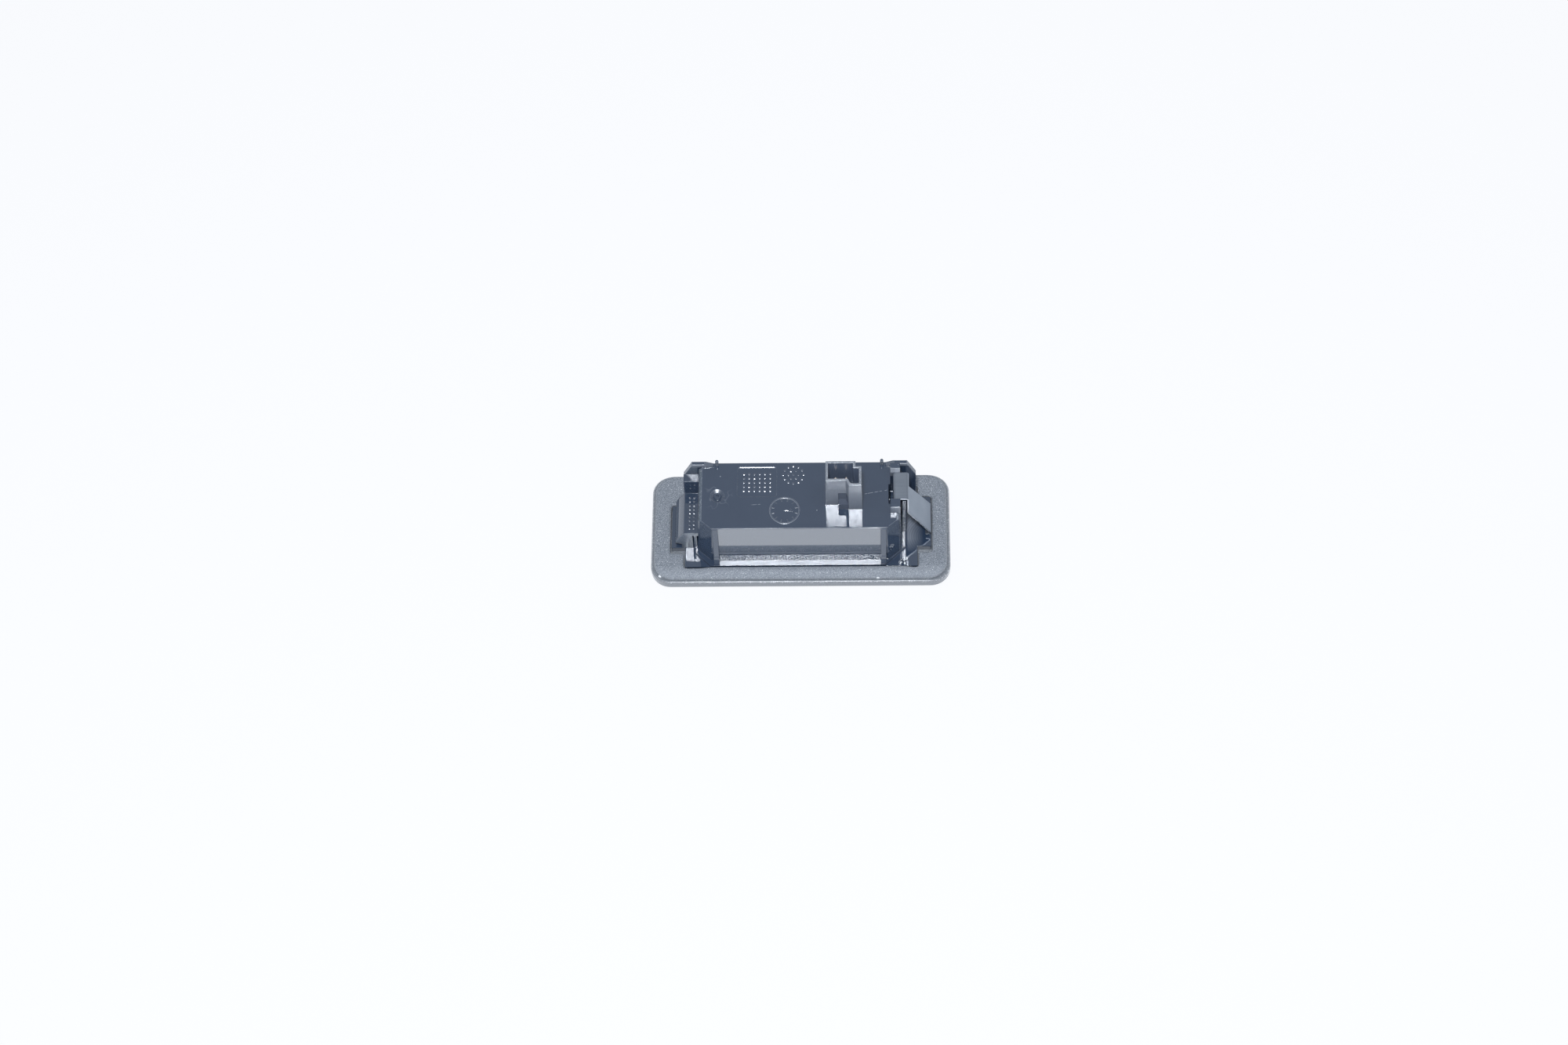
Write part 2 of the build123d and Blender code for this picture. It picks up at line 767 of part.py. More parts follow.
# Terminal pins with tapered tips, and the solder joints under the board
for number, pin_x in enumerate(pin_places, 1):
    with BuildPart() as terminal_pin:
        with BuildSketch(Plane.XY.offset(board_under - pin_tail)):
            with Locations((pin_x, pin_y)):
                Rectangle(pin_width, pin_width)
        extrude(amount=pin_tip_z - pin_tip - board_under + pin_tail)
        with BuildSketch(Plane.XY.offset(pin_tip_z - pin_tip)):
            with Locations((pin_x, pin_y)):
                Rectangle(pin_width, pin_width)
        with BuildSketch(Plane.XY.offset(pin_tip_z)):
            with Locations((pin_x, pin_y)):
                Rectangle(pin_tip_width, pin_tip_width)
        loft()
    terminal_pin.part.label = f"terminal_pin_{number}"
    export_step(terminal_pin.part, f"parts/terminal_pin_{number}.step")

    with BuildPart() as solder_joint:
        with BuildSketch(Plane.XY.offset(board_under)):
            with Locations((pin_x, pin_y)):
                Circle(solder_radius)
        extrude(amount=-solder_height, taper=solder_taper)
        with BuildSketch(Plane.XY.offset(board_under)):
            with Locations((pin_x, pin_y)):
                Rectangle(pin_width, pin_width)
        extrude(amount=-solder_height, mode=Mode.SUBTRACT)
    solder_joint.part.label = f"solder_joint_{number}"
    export_step(solder_joint.part, f"parts/solder_joint_{number}.step")

# Light sources: a package with a cup, filled by the phosphor
for number, led_x in enumerate(led_places, 1):
    with BuildPart() as led_package:
        with BuildSketch(Plane.XY.offset(board_under)):
            with Locations((led_x, led_y)):
                Rectangle(led_length, led_width)
        extrude(amount=-led_thick)
        with BuildSketch(Plane.XY.offset(board_under - led_thick)):
            with Locations((led_x, led_y)):
                Circle(led_cup / 2)
        extrude(amount=led_cup_deep, mode=Mode.SUBTRACT)
    led_package.part.label = f"led_package_{number}"
    export_step(led_package.part, f"parts/led_package_{number}.step")

    with BuildPart() as led_phosphor:
        with BuildSketch(Plane.XY.offset(board_under - led_thick)):
            with Locations((led_x, led_y)):
                Circle(led_cup / 2)
        extrude(amount=led_cup_deep)
    led_phosphor.part.label = f"led_phosphor_{number}"
    export_step(led_phosphor.part, f"parts/led_phosphor_{number}.step")

# Chip resistors in a row along the far edge of the board
for number, chip_x in enumerate(chip_places, 1):
    with BuildPart() as resistor:
        with BuildSketch(Plane.XY.offset(board_under)):
            with Locations((chip_x, chip_y)):
                Rectangle(chip_length, chip_width)
        extrude(amount=-chip_thick)
        with BuildSketch(Plane.XY.offset(board_under)):
            with Locations((chip_x, chip_y)):
                with GridLocations(chip_length - chip_cap, 0, 2, 1):
                    Rectangle(chip_cap, chip_width)
        extrude(amount=-chip_thick - chip_cap_rise)
    resistor.part.label = f"resistor_{number}"
    export_step(resistor.part, f"parts/resistor_{number}.step")

# Capacitor beside the pins
with BuildPart() as capacitor:
    with BuildSketch(Plane.XY.offset(board_under)):
        with Locations((capacitor_x, led_y)):
            Rectangle(capacitor_width, capacitor_length)
    extrude(amount=-capacitor_thick)
    with BuildSketch(Plane.XY.offset(board_under)):
        with Locations((capacitor_x, led_y)):
            with GridLocations(0, capacitor_length - capacitor_cap, 1, 2):
                Rectangle(capacitor_width, capacitor_cap)
    extrude(amount=-capacitor_thick - capacitor_cap_rise)
capacitor.part.label = "capacitor"
export_step(capacitor.part, "parts/capacitor.step")

# Diode with folded leads, between the resistors and the pins
with BuildPart() as diode:
    with BuildSketch(Plane.XY.offset(board_under)):
        with Locations((diode_x, chip_y)):
            Rectangle(diode_width, diode_length)
    extrude(amount=-diode_thick, taper=diode_taper)
    with BuildSketch(Plane.XY.offset(board_under)):
        with Locations((diode_x, chip_y)):
            Rectangle(diode_lead_width, diode_length + 2 * diode_lead)
    extrude(amount=-diode_lead_thick)
diode.part.label = "diode"
export_step(diode.part, "parts/diode.step")
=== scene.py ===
"""Looks of the number plate lamp: a finish for every moulded and metal piece, the foam gasket,
small moulded marks, a pale floor, soft studio light and a camera at the photograph's viewing angle."""

import math

import bmesh
import bpy
from mathutils import Matrix, Vector, noise


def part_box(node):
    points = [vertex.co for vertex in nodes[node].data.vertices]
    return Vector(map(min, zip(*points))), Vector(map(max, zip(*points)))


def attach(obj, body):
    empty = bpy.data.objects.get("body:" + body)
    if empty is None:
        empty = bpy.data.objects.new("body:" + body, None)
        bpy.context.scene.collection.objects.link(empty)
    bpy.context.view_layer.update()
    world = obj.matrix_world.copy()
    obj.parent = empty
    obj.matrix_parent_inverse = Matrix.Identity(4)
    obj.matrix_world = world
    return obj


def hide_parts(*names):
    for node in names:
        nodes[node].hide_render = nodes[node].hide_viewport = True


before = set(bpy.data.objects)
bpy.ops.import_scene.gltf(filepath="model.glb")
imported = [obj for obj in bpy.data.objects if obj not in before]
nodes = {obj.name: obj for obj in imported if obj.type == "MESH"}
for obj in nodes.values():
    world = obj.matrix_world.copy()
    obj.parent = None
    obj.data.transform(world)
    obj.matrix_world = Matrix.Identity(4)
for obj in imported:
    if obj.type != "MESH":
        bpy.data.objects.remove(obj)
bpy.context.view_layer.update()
scene = bpy.context.scene
MM = 0.001

# Heights and places of the lamp that the finishes and added pieces go by
BEZEL_TOP = 2.4 * MM
FLANGE_TOP = 4.2 * MM
HOOK_TOP = 11.05 * MM
BODY_TOP = 19.5 * MM
TOP_NEAR = -9.825 * MM
FLANGE_NEAR = -11.475 * MM
PLINTH_TOP = 8.2 * MM
TEXTURE_TOP = 7.35 * MM
SHROUD_TOP = 30.4 * MM
SHROUD_X = 10.6 * MM
SHROUD_HALF = 4.0 * MM
SHROUD_NEAR = -3.0 * MM
SHROUD_FAR = 1.95 * MM
SHROUD_STEP = 11.3 * MM
SHROUD_STEP_NEAR = -4.3 * MM
SHROUD_STEP_RUN = 0.7 * MM
RIM_DEPTH = 0.3 * MM
LATCH_X = 10.5 * MM
LATCH_HALF = 1.2 * MM
LATCH_TOP = 24.75 * MM
LATCH_BACK = -2.9 * MM
HOOK_SLOPE = -27.75 * MM
BODY_LEFT = -24.4 * MM
BODY_END = 22.8 * MM
PILLAR_INNER = 19.3 * MM
CLIP_END = 23.7 * MM
HOOK_NEAR = -6.125 * MM
FIN_NEAR = 7.175 * MM
PIN_TIP = 26.0 * MM
# Plated tips of the pins, pale partly as a painted highlight
PLATED_AND_LIT_FROM = PIN_TIP - 1.3 * MM
PLATED_AND_LIT_FULL = PIN_TIP - 0.7 * MM
# Heights below which the clip's cut edges are darker, as painted shade, and above which paler, as painted
# highlight
CLIP_EDGE_SHADE_TO = 12.0 * MM
CLIP_EDGE_LIT_FROM = 17.0 * MM
PANEL_SUNK = 0.12 * MM
PANEL_MIDDLE = Vector((-10.05, 3.025, 0)) * MM
RING_MIDDLE = Vector((-3.45, -4.825, 0)) * MM
ROUND_MIDDLE = Vector((-1.4, 5.0, 0)) * MM
RING_RADIUS = 3.75 * MM
GATE_MIDDLE = Vector((-19.45, -0.725, 19.5)) * MM
GATE_INNER = 1.5 * MM
GATE_OUTER = 4.2 * MM
HOOK_MIDDLE = Vector((-25.9, -0.5, 0)) * MM

# Slanted top edges: how far up they begin, and the rise of their normal and of the ring's flank
SLANT_LOW = HOOK_TOP + 0.5 * MM
SLANT_RISE = 0.7
RING_FLANK_RISE = 0.86

# Margins by which the finishes tell a face or a wall from what lies beyond it
FACE_MARGIN = 0.05 * MM
WALL_MARGIN = 0.1 * MM

# How far from the top face or the plinth's step a surface still belongs to its edge, marks, step or foot
EDGE_REACH = 0.3 * MM
CRISP_REACH = 0.35 * MM
MARK_REACH = 0.5 * MM
STEP_REACH = 0.25 * MM
FOOT_REACH = 0.4 * MM

# Rub marks and painted reflection of the clip on the flange under its leaf, and where they begin and fade
UNDER_CLIP_MIDDLE = Vector((31.0, -3.5, 4.2)) * MM
UNDER_CLIP_PITCH = 0.55 * MM
UNDER_CLIP_TOP = 4.9 * MM
UNDER_CLIP_BEGINS = (25.5 * MM, 25.8 * MM)
UNDER_CLIP_FADES = (29.6 * MM, 26.4 * MM)
UNDER_CLIP_FADES_NEAR = (-8.0 * MM, -4.0 * MM)

# Painted glints, pale spots where the foam meets the frame: one at the near left corner, one in the near edge
GLINT_SPOTS = (Vector((-33.72, -12.91, 2.4)) * MM, Vector((18.6, -14.16, 3.0)) * MM)
GLINT_SPOT_INNER = 0.3 * MM
GLINT_SPOT_OUTER = 0.5 * MM

# Scratches on the top face: from, to and half width
LONG_SCRATCH = (Vector((15.57, -0.47, 0)) * MM, Vector((20.97, 0.57, 0)) * MM, 0.06 * MM)
SHORT_SCRATCH = (Vector((-11.4, -3.26, 0)) * MM, Vector((-8.6, -3.06, 0)) * MM, 0.05 * MM)

# Half lengths of the small parts' bodies between their tinned ends
RESISTOR_HALF_BODY = 1.15 * MM
CAPACITOR_HALF_BODY = 0.6 * MM
DIODE_HALF_BODY = 2.1 * MM

# Rounding of edges in the shading
SMALL_EDGE = 0.05 * MM
MOULD_EDGE = 0.28 * MM
HOOK_EDGE = 0.4 * MM

# Grains per metre of the spark texture on walls and on the connector, and its depth
MOULD_GRAIN = 4200.0
CONNECTOR_GRAIN = 6800.0
GRAIN_DEEP = 0.026 * MM

# Draft of the textured walls, the smooth front wall, the flanks of marks and the connector's facets,
# as the rise of their normal
WALL_LEAN = 0.045
BAND_LEAN = -0.023
MARK_LEAN = 0.11
FACET_LEAN = 0.24
SKIN_LEAN_AT_RIM = -0.35 * WALL_LEAN

# Small raised marks: slope of their flanks, depth of their roots, least radius on top, change of slope
FLANK = math.radians(26.5)
ROOT = 0.05 * MM
LEAST_RADIUS = 0.05 * MM
UNEVEN_SCALE = 1700.0

# Photograph and the camera fitted to it
PHOTO_WIDTH = 2000
SENSOR_WIDTH = 36.0
FOCAL_PIXELS = 4448.3
CAMERA_AZIMUTH = math.radians(2.38)
CAMERA_ELEVATION = math.radians(60.255)
CAMERA_ROLL = math.radians(2.469)
CAMERA_DISTANCE = 845.22 * MM
CAMERA_TARGET = Vector((0, -0.25, 0)) * MM
TARGET_RIGHT_PIXELS = 21.614
TARGET_DOWN_PIXELS = 15.017

# Studio light
KEY_AZIMUTH = math.radians(-2.4)
KEY_ELEVATION = math.radians(67)
KEY_DISTANCE = 0.9
KEY_SIZE = 0.11
KEY_POWER = 6.2
HORIZON_LEVEL = 0.58
ZENITH_LEVEL = 0.46
LIGHT_TINT = (0.88, 0.93, 1.0)
ROOM_TINT = (0.90, 0.955, 1.03, 1.0)
FLOOR_SIZE = 8.0
FLOOR_WHITE_SHARE = 0.85


# Node helpers

def add(tree, kind, inputs=None, **settings):
    """Adds a shader node, sets its options, then sets or links its inputs."""
    made = tree.nodes.new("ShaderNode" + kind)
    for name, value in settings.items():
        setattr(made, name, value)
    for key, value in (inputs or {}).items():
        if isinstance(value, bpy.types.NodeSocket):
            tree.links.new(value, made.inputs[key])
        else:
            made.inputs[key].default_value = value
    return made


def calc(tree, operation, *values):
    """One Math node; gives its result."""
    return add(tree, "Math", dict(enumerate(values)), operation=operation).outputs[0]


def chain(tree, operation, first, *others):
    """One Math node after another, each taking in the next value."""
    for other in others:
        first = calc(tree, operation, first, other)
    return first


def times(tree, *values):
    """Product; of masks, where all of them hold."""
    return chain(tree, "MULTIPLY", *values)


def plus(tree, *values):
    """Sum of values."""
    return chain(tree, "ADD", *values)


def largest(tree, *values):
    """Largest value; of masks, where any of them holds."""
    return chain(tree, "MAXIMUM", *values)


def raised(tree, value, mask, amount):
    """Value with an amount added where a mask holds."""
    return plus(tree, value, times(tree, mask, amount))


def inverse(tree, mask):
    """Mask of everywhere else."""
    return calc(tree, "SUBTRACT", 1.0, mask)


def above(tree, value, limit):
    """Mask of where a value is greater than a limit."""
    return calc(tree, "GREATER_THAN", value, limit)


def below(tree, value, limit):
    """Mask of where a value is less than a limit."""
    return calc(tree, "LESS_THAN", value, limit)


def within(tree, value, middle, reach):
    """Mask of where a value is no further from a middle than a reach."""
    return calc(tree, "COMPARE", value, middle, reach)


def away_from(tree, point, place):
    """Distance of the surface point from a place."""
    return add(tree, "VectorMath", {0: point, 1: place}, operation="DISTANCE").outputs["Value"]


def true_rise(tree):
    """Upward part of the normal of the face itself: 1 on a level face, 0 on an upright one."""
    return split(tree, add(tree, "NewGeometry").outputs["True Normal"])[2]


def ramp(tree, value, low, high, start=0.0, end=1.0):
    """Value taken from the range low to high to the range start to end, and held at the ends."""
    inputs = {"Value": value, "From Min": low, "From Max": high, "To Min": start, "To Max": end}
    return add(tree, "MapRange", inputs).outputs["Result"]


def span(tree, mask, start, end):
    """Mask of 0 to 1 taken to the range start to end."""
    return ramp(tree, mask, 0.0, 1.0, start, end)


def blend(tree, factor, first, second):
    """Mix of two colours by a factor."""
    mixed = add(tree, "Mix", {0: factor, 6: first, 7: second}, data_type="RGBA")
    return mixed.outputs[2]


def tinted(tree, base, mask, share, tint):
    """Colour with a share of a tint where a mask holds."""
    return blend(tree, times(tree, mask, share), base, tint)


def colour(red, green, blue):
    """Opaque colour in linear values."""
    return (red, green, blue, 1.0)


def object_point(tree):
    """Object coordinates, which are metres in the lamp's own frame."""
    return add(tree, "TexCoord").outputs["Object"]


def split(tree, vector):
    """The three components of a vector."""
    return add(tree, "SeparateXYZ", {0: vector}).outputs


def new_group(name, inputs, outputs):
    """Empty shader node group with number inputs, each with its default, and number outputs."""
    tree = bpy.data.node_groups.new(name, "ShaderNodeTree")
    for label, default in inputs.items():
        socket = tree.interface.new_socket(name=label, in_out="INPUT", socket_type="NodeSocketFloat")
        socket.default_value = default
    for label in outputs:
        tree.interface.new_socket(name=label, in_out="OUTPUT", socket_type="NodeSocketFloat")
    return tree, tree.nodes.new("NodeGroupInput").outputs, tree.nodes.new("NodeGroupOutput").inputs


def use_group(tree, group, **values):
    """Places a group in a material with its own values; gives its outputs."""
    inputs = {label.replace("_", " "): value for label, value in values.items()}
    return add(tree, "Group", inputs, node_tree=group).outputs


# Shared effects

def flat_face_group():
    """Mask of the faces that lie level, which are polished on the moulding."""
    tree, _, outputs = new_group("level faces", {}, ["Level"])
    normal = add(tree, "NewGeometry").outputs["Normal"]
    upright = calc(tree, "ABSOLUTE", split(tree, normal)[2])
    tree.links.new(ramp(tree, upright, 0.86, 0.96), outputs["Level"])
    return tree


def spark_grain_group():
    """Grain of a spark-eroded mould wall: pitted height and the few facets that catch the light."""
    tree, inputs, outputs = new_group("spark grain", {"Scale": 6000.0}, ["Height", "Glint"])
    point = object_point(tree)
    pitted = {"Vector": point, "Scale": inputs["Scale"], "Smoothness": 0.3}
    pits = add(tree, "TexVoronoi", pitted, feature="SMOOTH_F1")
    tree.links.new(pits.outputs["Distance"], outputs["Height"])
    cells = add(tree, "TexVoronoi", {"Vector": point, "Scale": inputs["Scale"]})
    lot = add(tree, "SeparateColor", {0: cells.outputs["Color"]}).outputs[0]
    tree.links.new(ramp(tree, lot, 0.72, 0.98), outputs["Glint"])
    return tree


def handling_group():
    """Dust specks and hairline scratches of a part that has been handled."""
    defaults = {"Speck Scale": 420.0, "Speck Size": 0.06}
    tree, inputs, outputs = new_group("handling", defaults, ["Dust", "Scratch"])
    point = object_point(tree)
    cells = add(tree, "TexVoronoi", {"Vector": point, "Scale": inputs["Speck Scale"]})
    lot = add(tree, "SeparateColor", {0: cells.outputs["Color"]}).outputs[1]
    chosen = above(tree, lot, 0.55)
    size = times(tree, inputs["Speck Size"], lot)
    near = below(tree, cells.outputs["Distance"], size)
    tree.links.new(times(tree, near, chosen), outputs["Dust"])
    stretch = (90.0, 5200.0, 90.0)
    turned = add(tree, "Mapping", {"Vector": point, "Rotation": (0, 0, 0.3), "Scale": stretch})
    streak = add(tree, "TexNoise", {"Vector": turned.outputs[0], "Scale": 1.0, "Detail": 1.0})
    tree.links.new(ramp(tree, streak.outputs[0], 0.7, 0.76), outputs["Scratch"])
    return tree


def mottle_group():
    """Slow change of tone over a surface."""
    tree, inputs, outputs = new_group("mottle", {"Scale": 250.0}, ["Tone"])
    cloud = add(tree, "TexNoise", {"Vector": object_point(tree), "Scale": inputs["Scale"], "Detail": 4.0})
    tree.links.new(ramp(tree, cloud.outputs[0], 0.3, 0.7), outputs["Tone"])
    return tree


level_faces = flat_face_group()
spark_grain = spark_grain_group()
handling = handling_group()
mottle = mottle_group()


# Finishes

def new_finish(name, **constants):
    """Material with a Principled shader; the constants are set on the shader's own sockets."""
    material = bpy.data.materials.new(name)
    material.use_nodes = True
    tree = material.node_tree
    tree.nodes.clear()
    shader = add(tree, "BsdfPrincipled")
    for label, value in constants.items():
        shader.inputs[label.replace("_", " ")].default_value = value
    add(tree, "OutputMaterial", {"Surface": shader.outputs[0]})
    return material, tree, shader.inputs


def bumps(tree, height, strength, distance, normal=None):
    """Normal with a height as bumps, on top of another normal where one is given."""
    inputs = {"Height": height, "Strength": strength, "Distance": distance}
    if normal is not None:
        inputs["Normal"] = normal
    return add(tree, "Bump", inputs).outputs[0]


def soft_edges(tree, radius, height=None, strength=0.1, distance=0.02 * MM, lean=None):
    """Normal with rounded-over edges, leaning by a given rise, with a height as bumps on top of it."""
    rounded = add(tree, "Bevel", {"Radius": radius}, samples=6).outputs[0]
    if lean is not None:
        upward = add(tree, "CombineXYZ", {2: lean}).outputs[0]
        rounded = add(tree, "VectorMath", {0: rounded, 1: upward}, operation="ADD").outputs[0]
        rounded = add(tree, "VectorMath", {0: rounded}, operation="NORMALIZE").outputs[0]
    if height is None:
        return rounded
    return bumps(tree, height, strength, distance, rounded)


def segment_mask(tree, point, start, end, half_width):
    """Mask of a thin straight mark on the top face between two points of the X-Y plane."""
    along = end - start
    turn = math.atan2(along.y, along.x)
    move = {"Vector": point, "Location": start, "Rotation": (0, 0, turn)}
    local = split(tree, add(tree, "Mapping", move, vector_type="TEXTURE").outputs[0])
    inside = within(tree, local[0], along.length / 2, along.length / 2)
    thin = within(tree, local[1], 0.0, half_width)
    return times(tree, inside, thin)


def housing_places(tree, point):
    """Masks of the kinds of surface that the housing has, by name."""
    x, y, z = split(tree, point)[:3]
    rise = true_rise(tree)
    level = use_group(tree, level_faces)["Level"]
    upright = inverse(tree, level)
    from_middle = calc(tree, "ABSOLUTE", x)
    between = below(tree, from_middle, PILLAR_INNER)
    in_front = below(tree, y, TOP_NEAR + WALL_MARGIN)
    left_end = below(tree, x, BODY_LEFT)
    above_flange = above(tree, z, FLANGE_TOP + FACE_MARGIN)
    above_hook = above(tree, z, HOOK_TOP + FACE_MARGIN)
    above_top = above(tree, z, BODY_TOP + FACE_MARGIN)

    # The spark texture is on the plinth, the connector, hook, fins, clip end and slanted top edges
    plinth = times(tree, in_front, between, below(tree, z, TEXTURE_TOP))
    hook_end = times(tree, left_end, below(tree, y, HOOK_NEAR + WALL_MARGIN), above_flange)
    fin = times(tree, left_end, above(tree, y, FIN_NEAR - WALL_MARGIN))
    before_fin = below(tree, y, FIN_NEAR - WALL_MARGIN)
    clip_end = times(tree, above_flange, above(tree, x, CLIP_END), before_fin)
    slanted = times(tree, within(tree, rise, SLANT_RISE, 0.1), above(tree, from_middle, BODY_END),
                    above(tree, z, SLANT_LOW))
    at_top = within(tree, z, BODY_TOP, MARK_REACH)
    mark_slope = times(tree, within(tree, rise, RING_FLANK_RISE, 0.03), at_top)
    sparked = largest(tree, plinth, above_top, hook_end, fin, clip_end, slanted)

    # The latch nose, its window and the inside of the connector are smooth
    latch = times(tree, within(tree, x, LATCH_X, LATCH_HALF), below(tree, z, LATCH_TOP), above_top,
                  below(tree, y, LATCH_BACK))
    near_wall = ramp(tree, x, SHROUD_STEP, SHROUD_STEP + SHROUD_STEP_RUN, SHROUD_NEAR, SHROUD_STEP_NEAR)
    inside = times(tree, within(tree, x, SHROUD_X, SHROUD_HALF), above_top, below(tree, y, SHROUD_FAR),
                   above(tree, y, near_wall), below(tree, z, SHROUD_TOP - RIM_DEPTH))
    sparked = times(tree, sparked, inverse(tree, largest(tree, latch, inside)))
    textured = largest(tree, times(tree, upright, sparked), mark_slope)
    smooth_wall = calc(tree, "SUBTRACT", upright, textured)
    near_edge = below(tree, y, TOP_NEAR + EDGE_REACH)
    return {
        "level": level,
        "steep": below(tree, calc(tree, "ABSOLUTE", rise), 0.5),
        "above top": above_top,
        "plinth": plinth,
        "plinth step": times(tree, in_front, within(tree, z, PLINTH_TOP, STEP_REACH)),
        "near foot": times(tree, in_front, below(tree, z, PLINTH_TOP + FOOT_REACH)),
        "above plinth": times(tree, in_front, above(tree, z, TEXTURE_TOP)),
        "front band": times(tree, smooth_wall, in_front, between),
        "front edge": times(tree, near_edge, within(tree, z, BODY_TOP, EDGE_REACH)),
        "hook end": hook_end,
        "hook slope": times(tree, below(tree, x, HOOK_SLOPE), above_flange),
        "behind hook": times(tree, upright, left_end, above_hook),
        "fin": fin,
        "slanted": slanted,
        "mark slope": mark_slope,
        "latch": latch,
        "inside": inside,
        "rim": above(tree, z, SHROUD_TOP - FACE_MARGIN),
        "textured": textured,
        "crisp": largest(tree, latch, within(tree, z, BODY_TOP, CRISP_REACH)),
    }


def housing_wear(tree, point, level):
    """Masks of the flow marks round the gate, the rub marks and painted reflection under the clip, and the
    scratches.
    """
    x, y, z = split(tree, point)[:3]

    # Blush and hairline flow marks round the gate
    near_gate = ramp(tree, away_from(tree, point, GATE_MIDDLE), GATE_OUTER, GATE_INNER)
    swirled = {"Vector": point, "Scale": 240.0, "Detail": 0.0, "Distortion": 0.8}
    swirl = add(tree, "TexNoise", swirled).outputs[0]
    off_line = calc(tree, "ABSOLUTE", calc(tree, "SUBTRACT", swirl, 0.5))
    blush = times(tree, ramp(tree, off_line, 0.016, 0.004), near_gate, level)

    # Dull curved rub marks on the flange under the leaf of the clip, with a painted reflection of the clip
    # that fades away from it
    from_clip = times(tree, ramp(tree, x, *UNDER_CLIP_FADES), ramp(tree, x, *UNDER_CLIP_BEGINS))
    from_near = ramp(tree, y, *UNDER_CLIP_FADES_NEAR)
    turns = times(tree, away_from(tree, point, UNDER_CLIP_MIDDLE), 2 * math.pi / UNDER_CLIP_PITCH)
    lines = ramp(tree, calc(tree, "SINE", turns), -1.0, 1.0, 0.75, 1.0)
    rubs_and_reflection = times(tree, from_clip, from_near, level, below(tree, z, UNDER_CLIP_TOP), lines)

    # Long dashed scratch from the connector to the clip, and a short one left of the ring
    long_scratch = segment_mask(tree, point, *LONG_SCRATCH)
    short_scratch = segment_mask(tree, point, *SHORT_SCRATCH)
    dashes = add(tree, "TexNoise", {"Vector": point, "Scale": 1500.0}).outputs[0]
    scratch = times(tree, plus(tree, long_scratch, short_scratch), ramp(tree, dashes, 0.4, 0.55), level)
    return blush, rubs_and_reflection, scratch


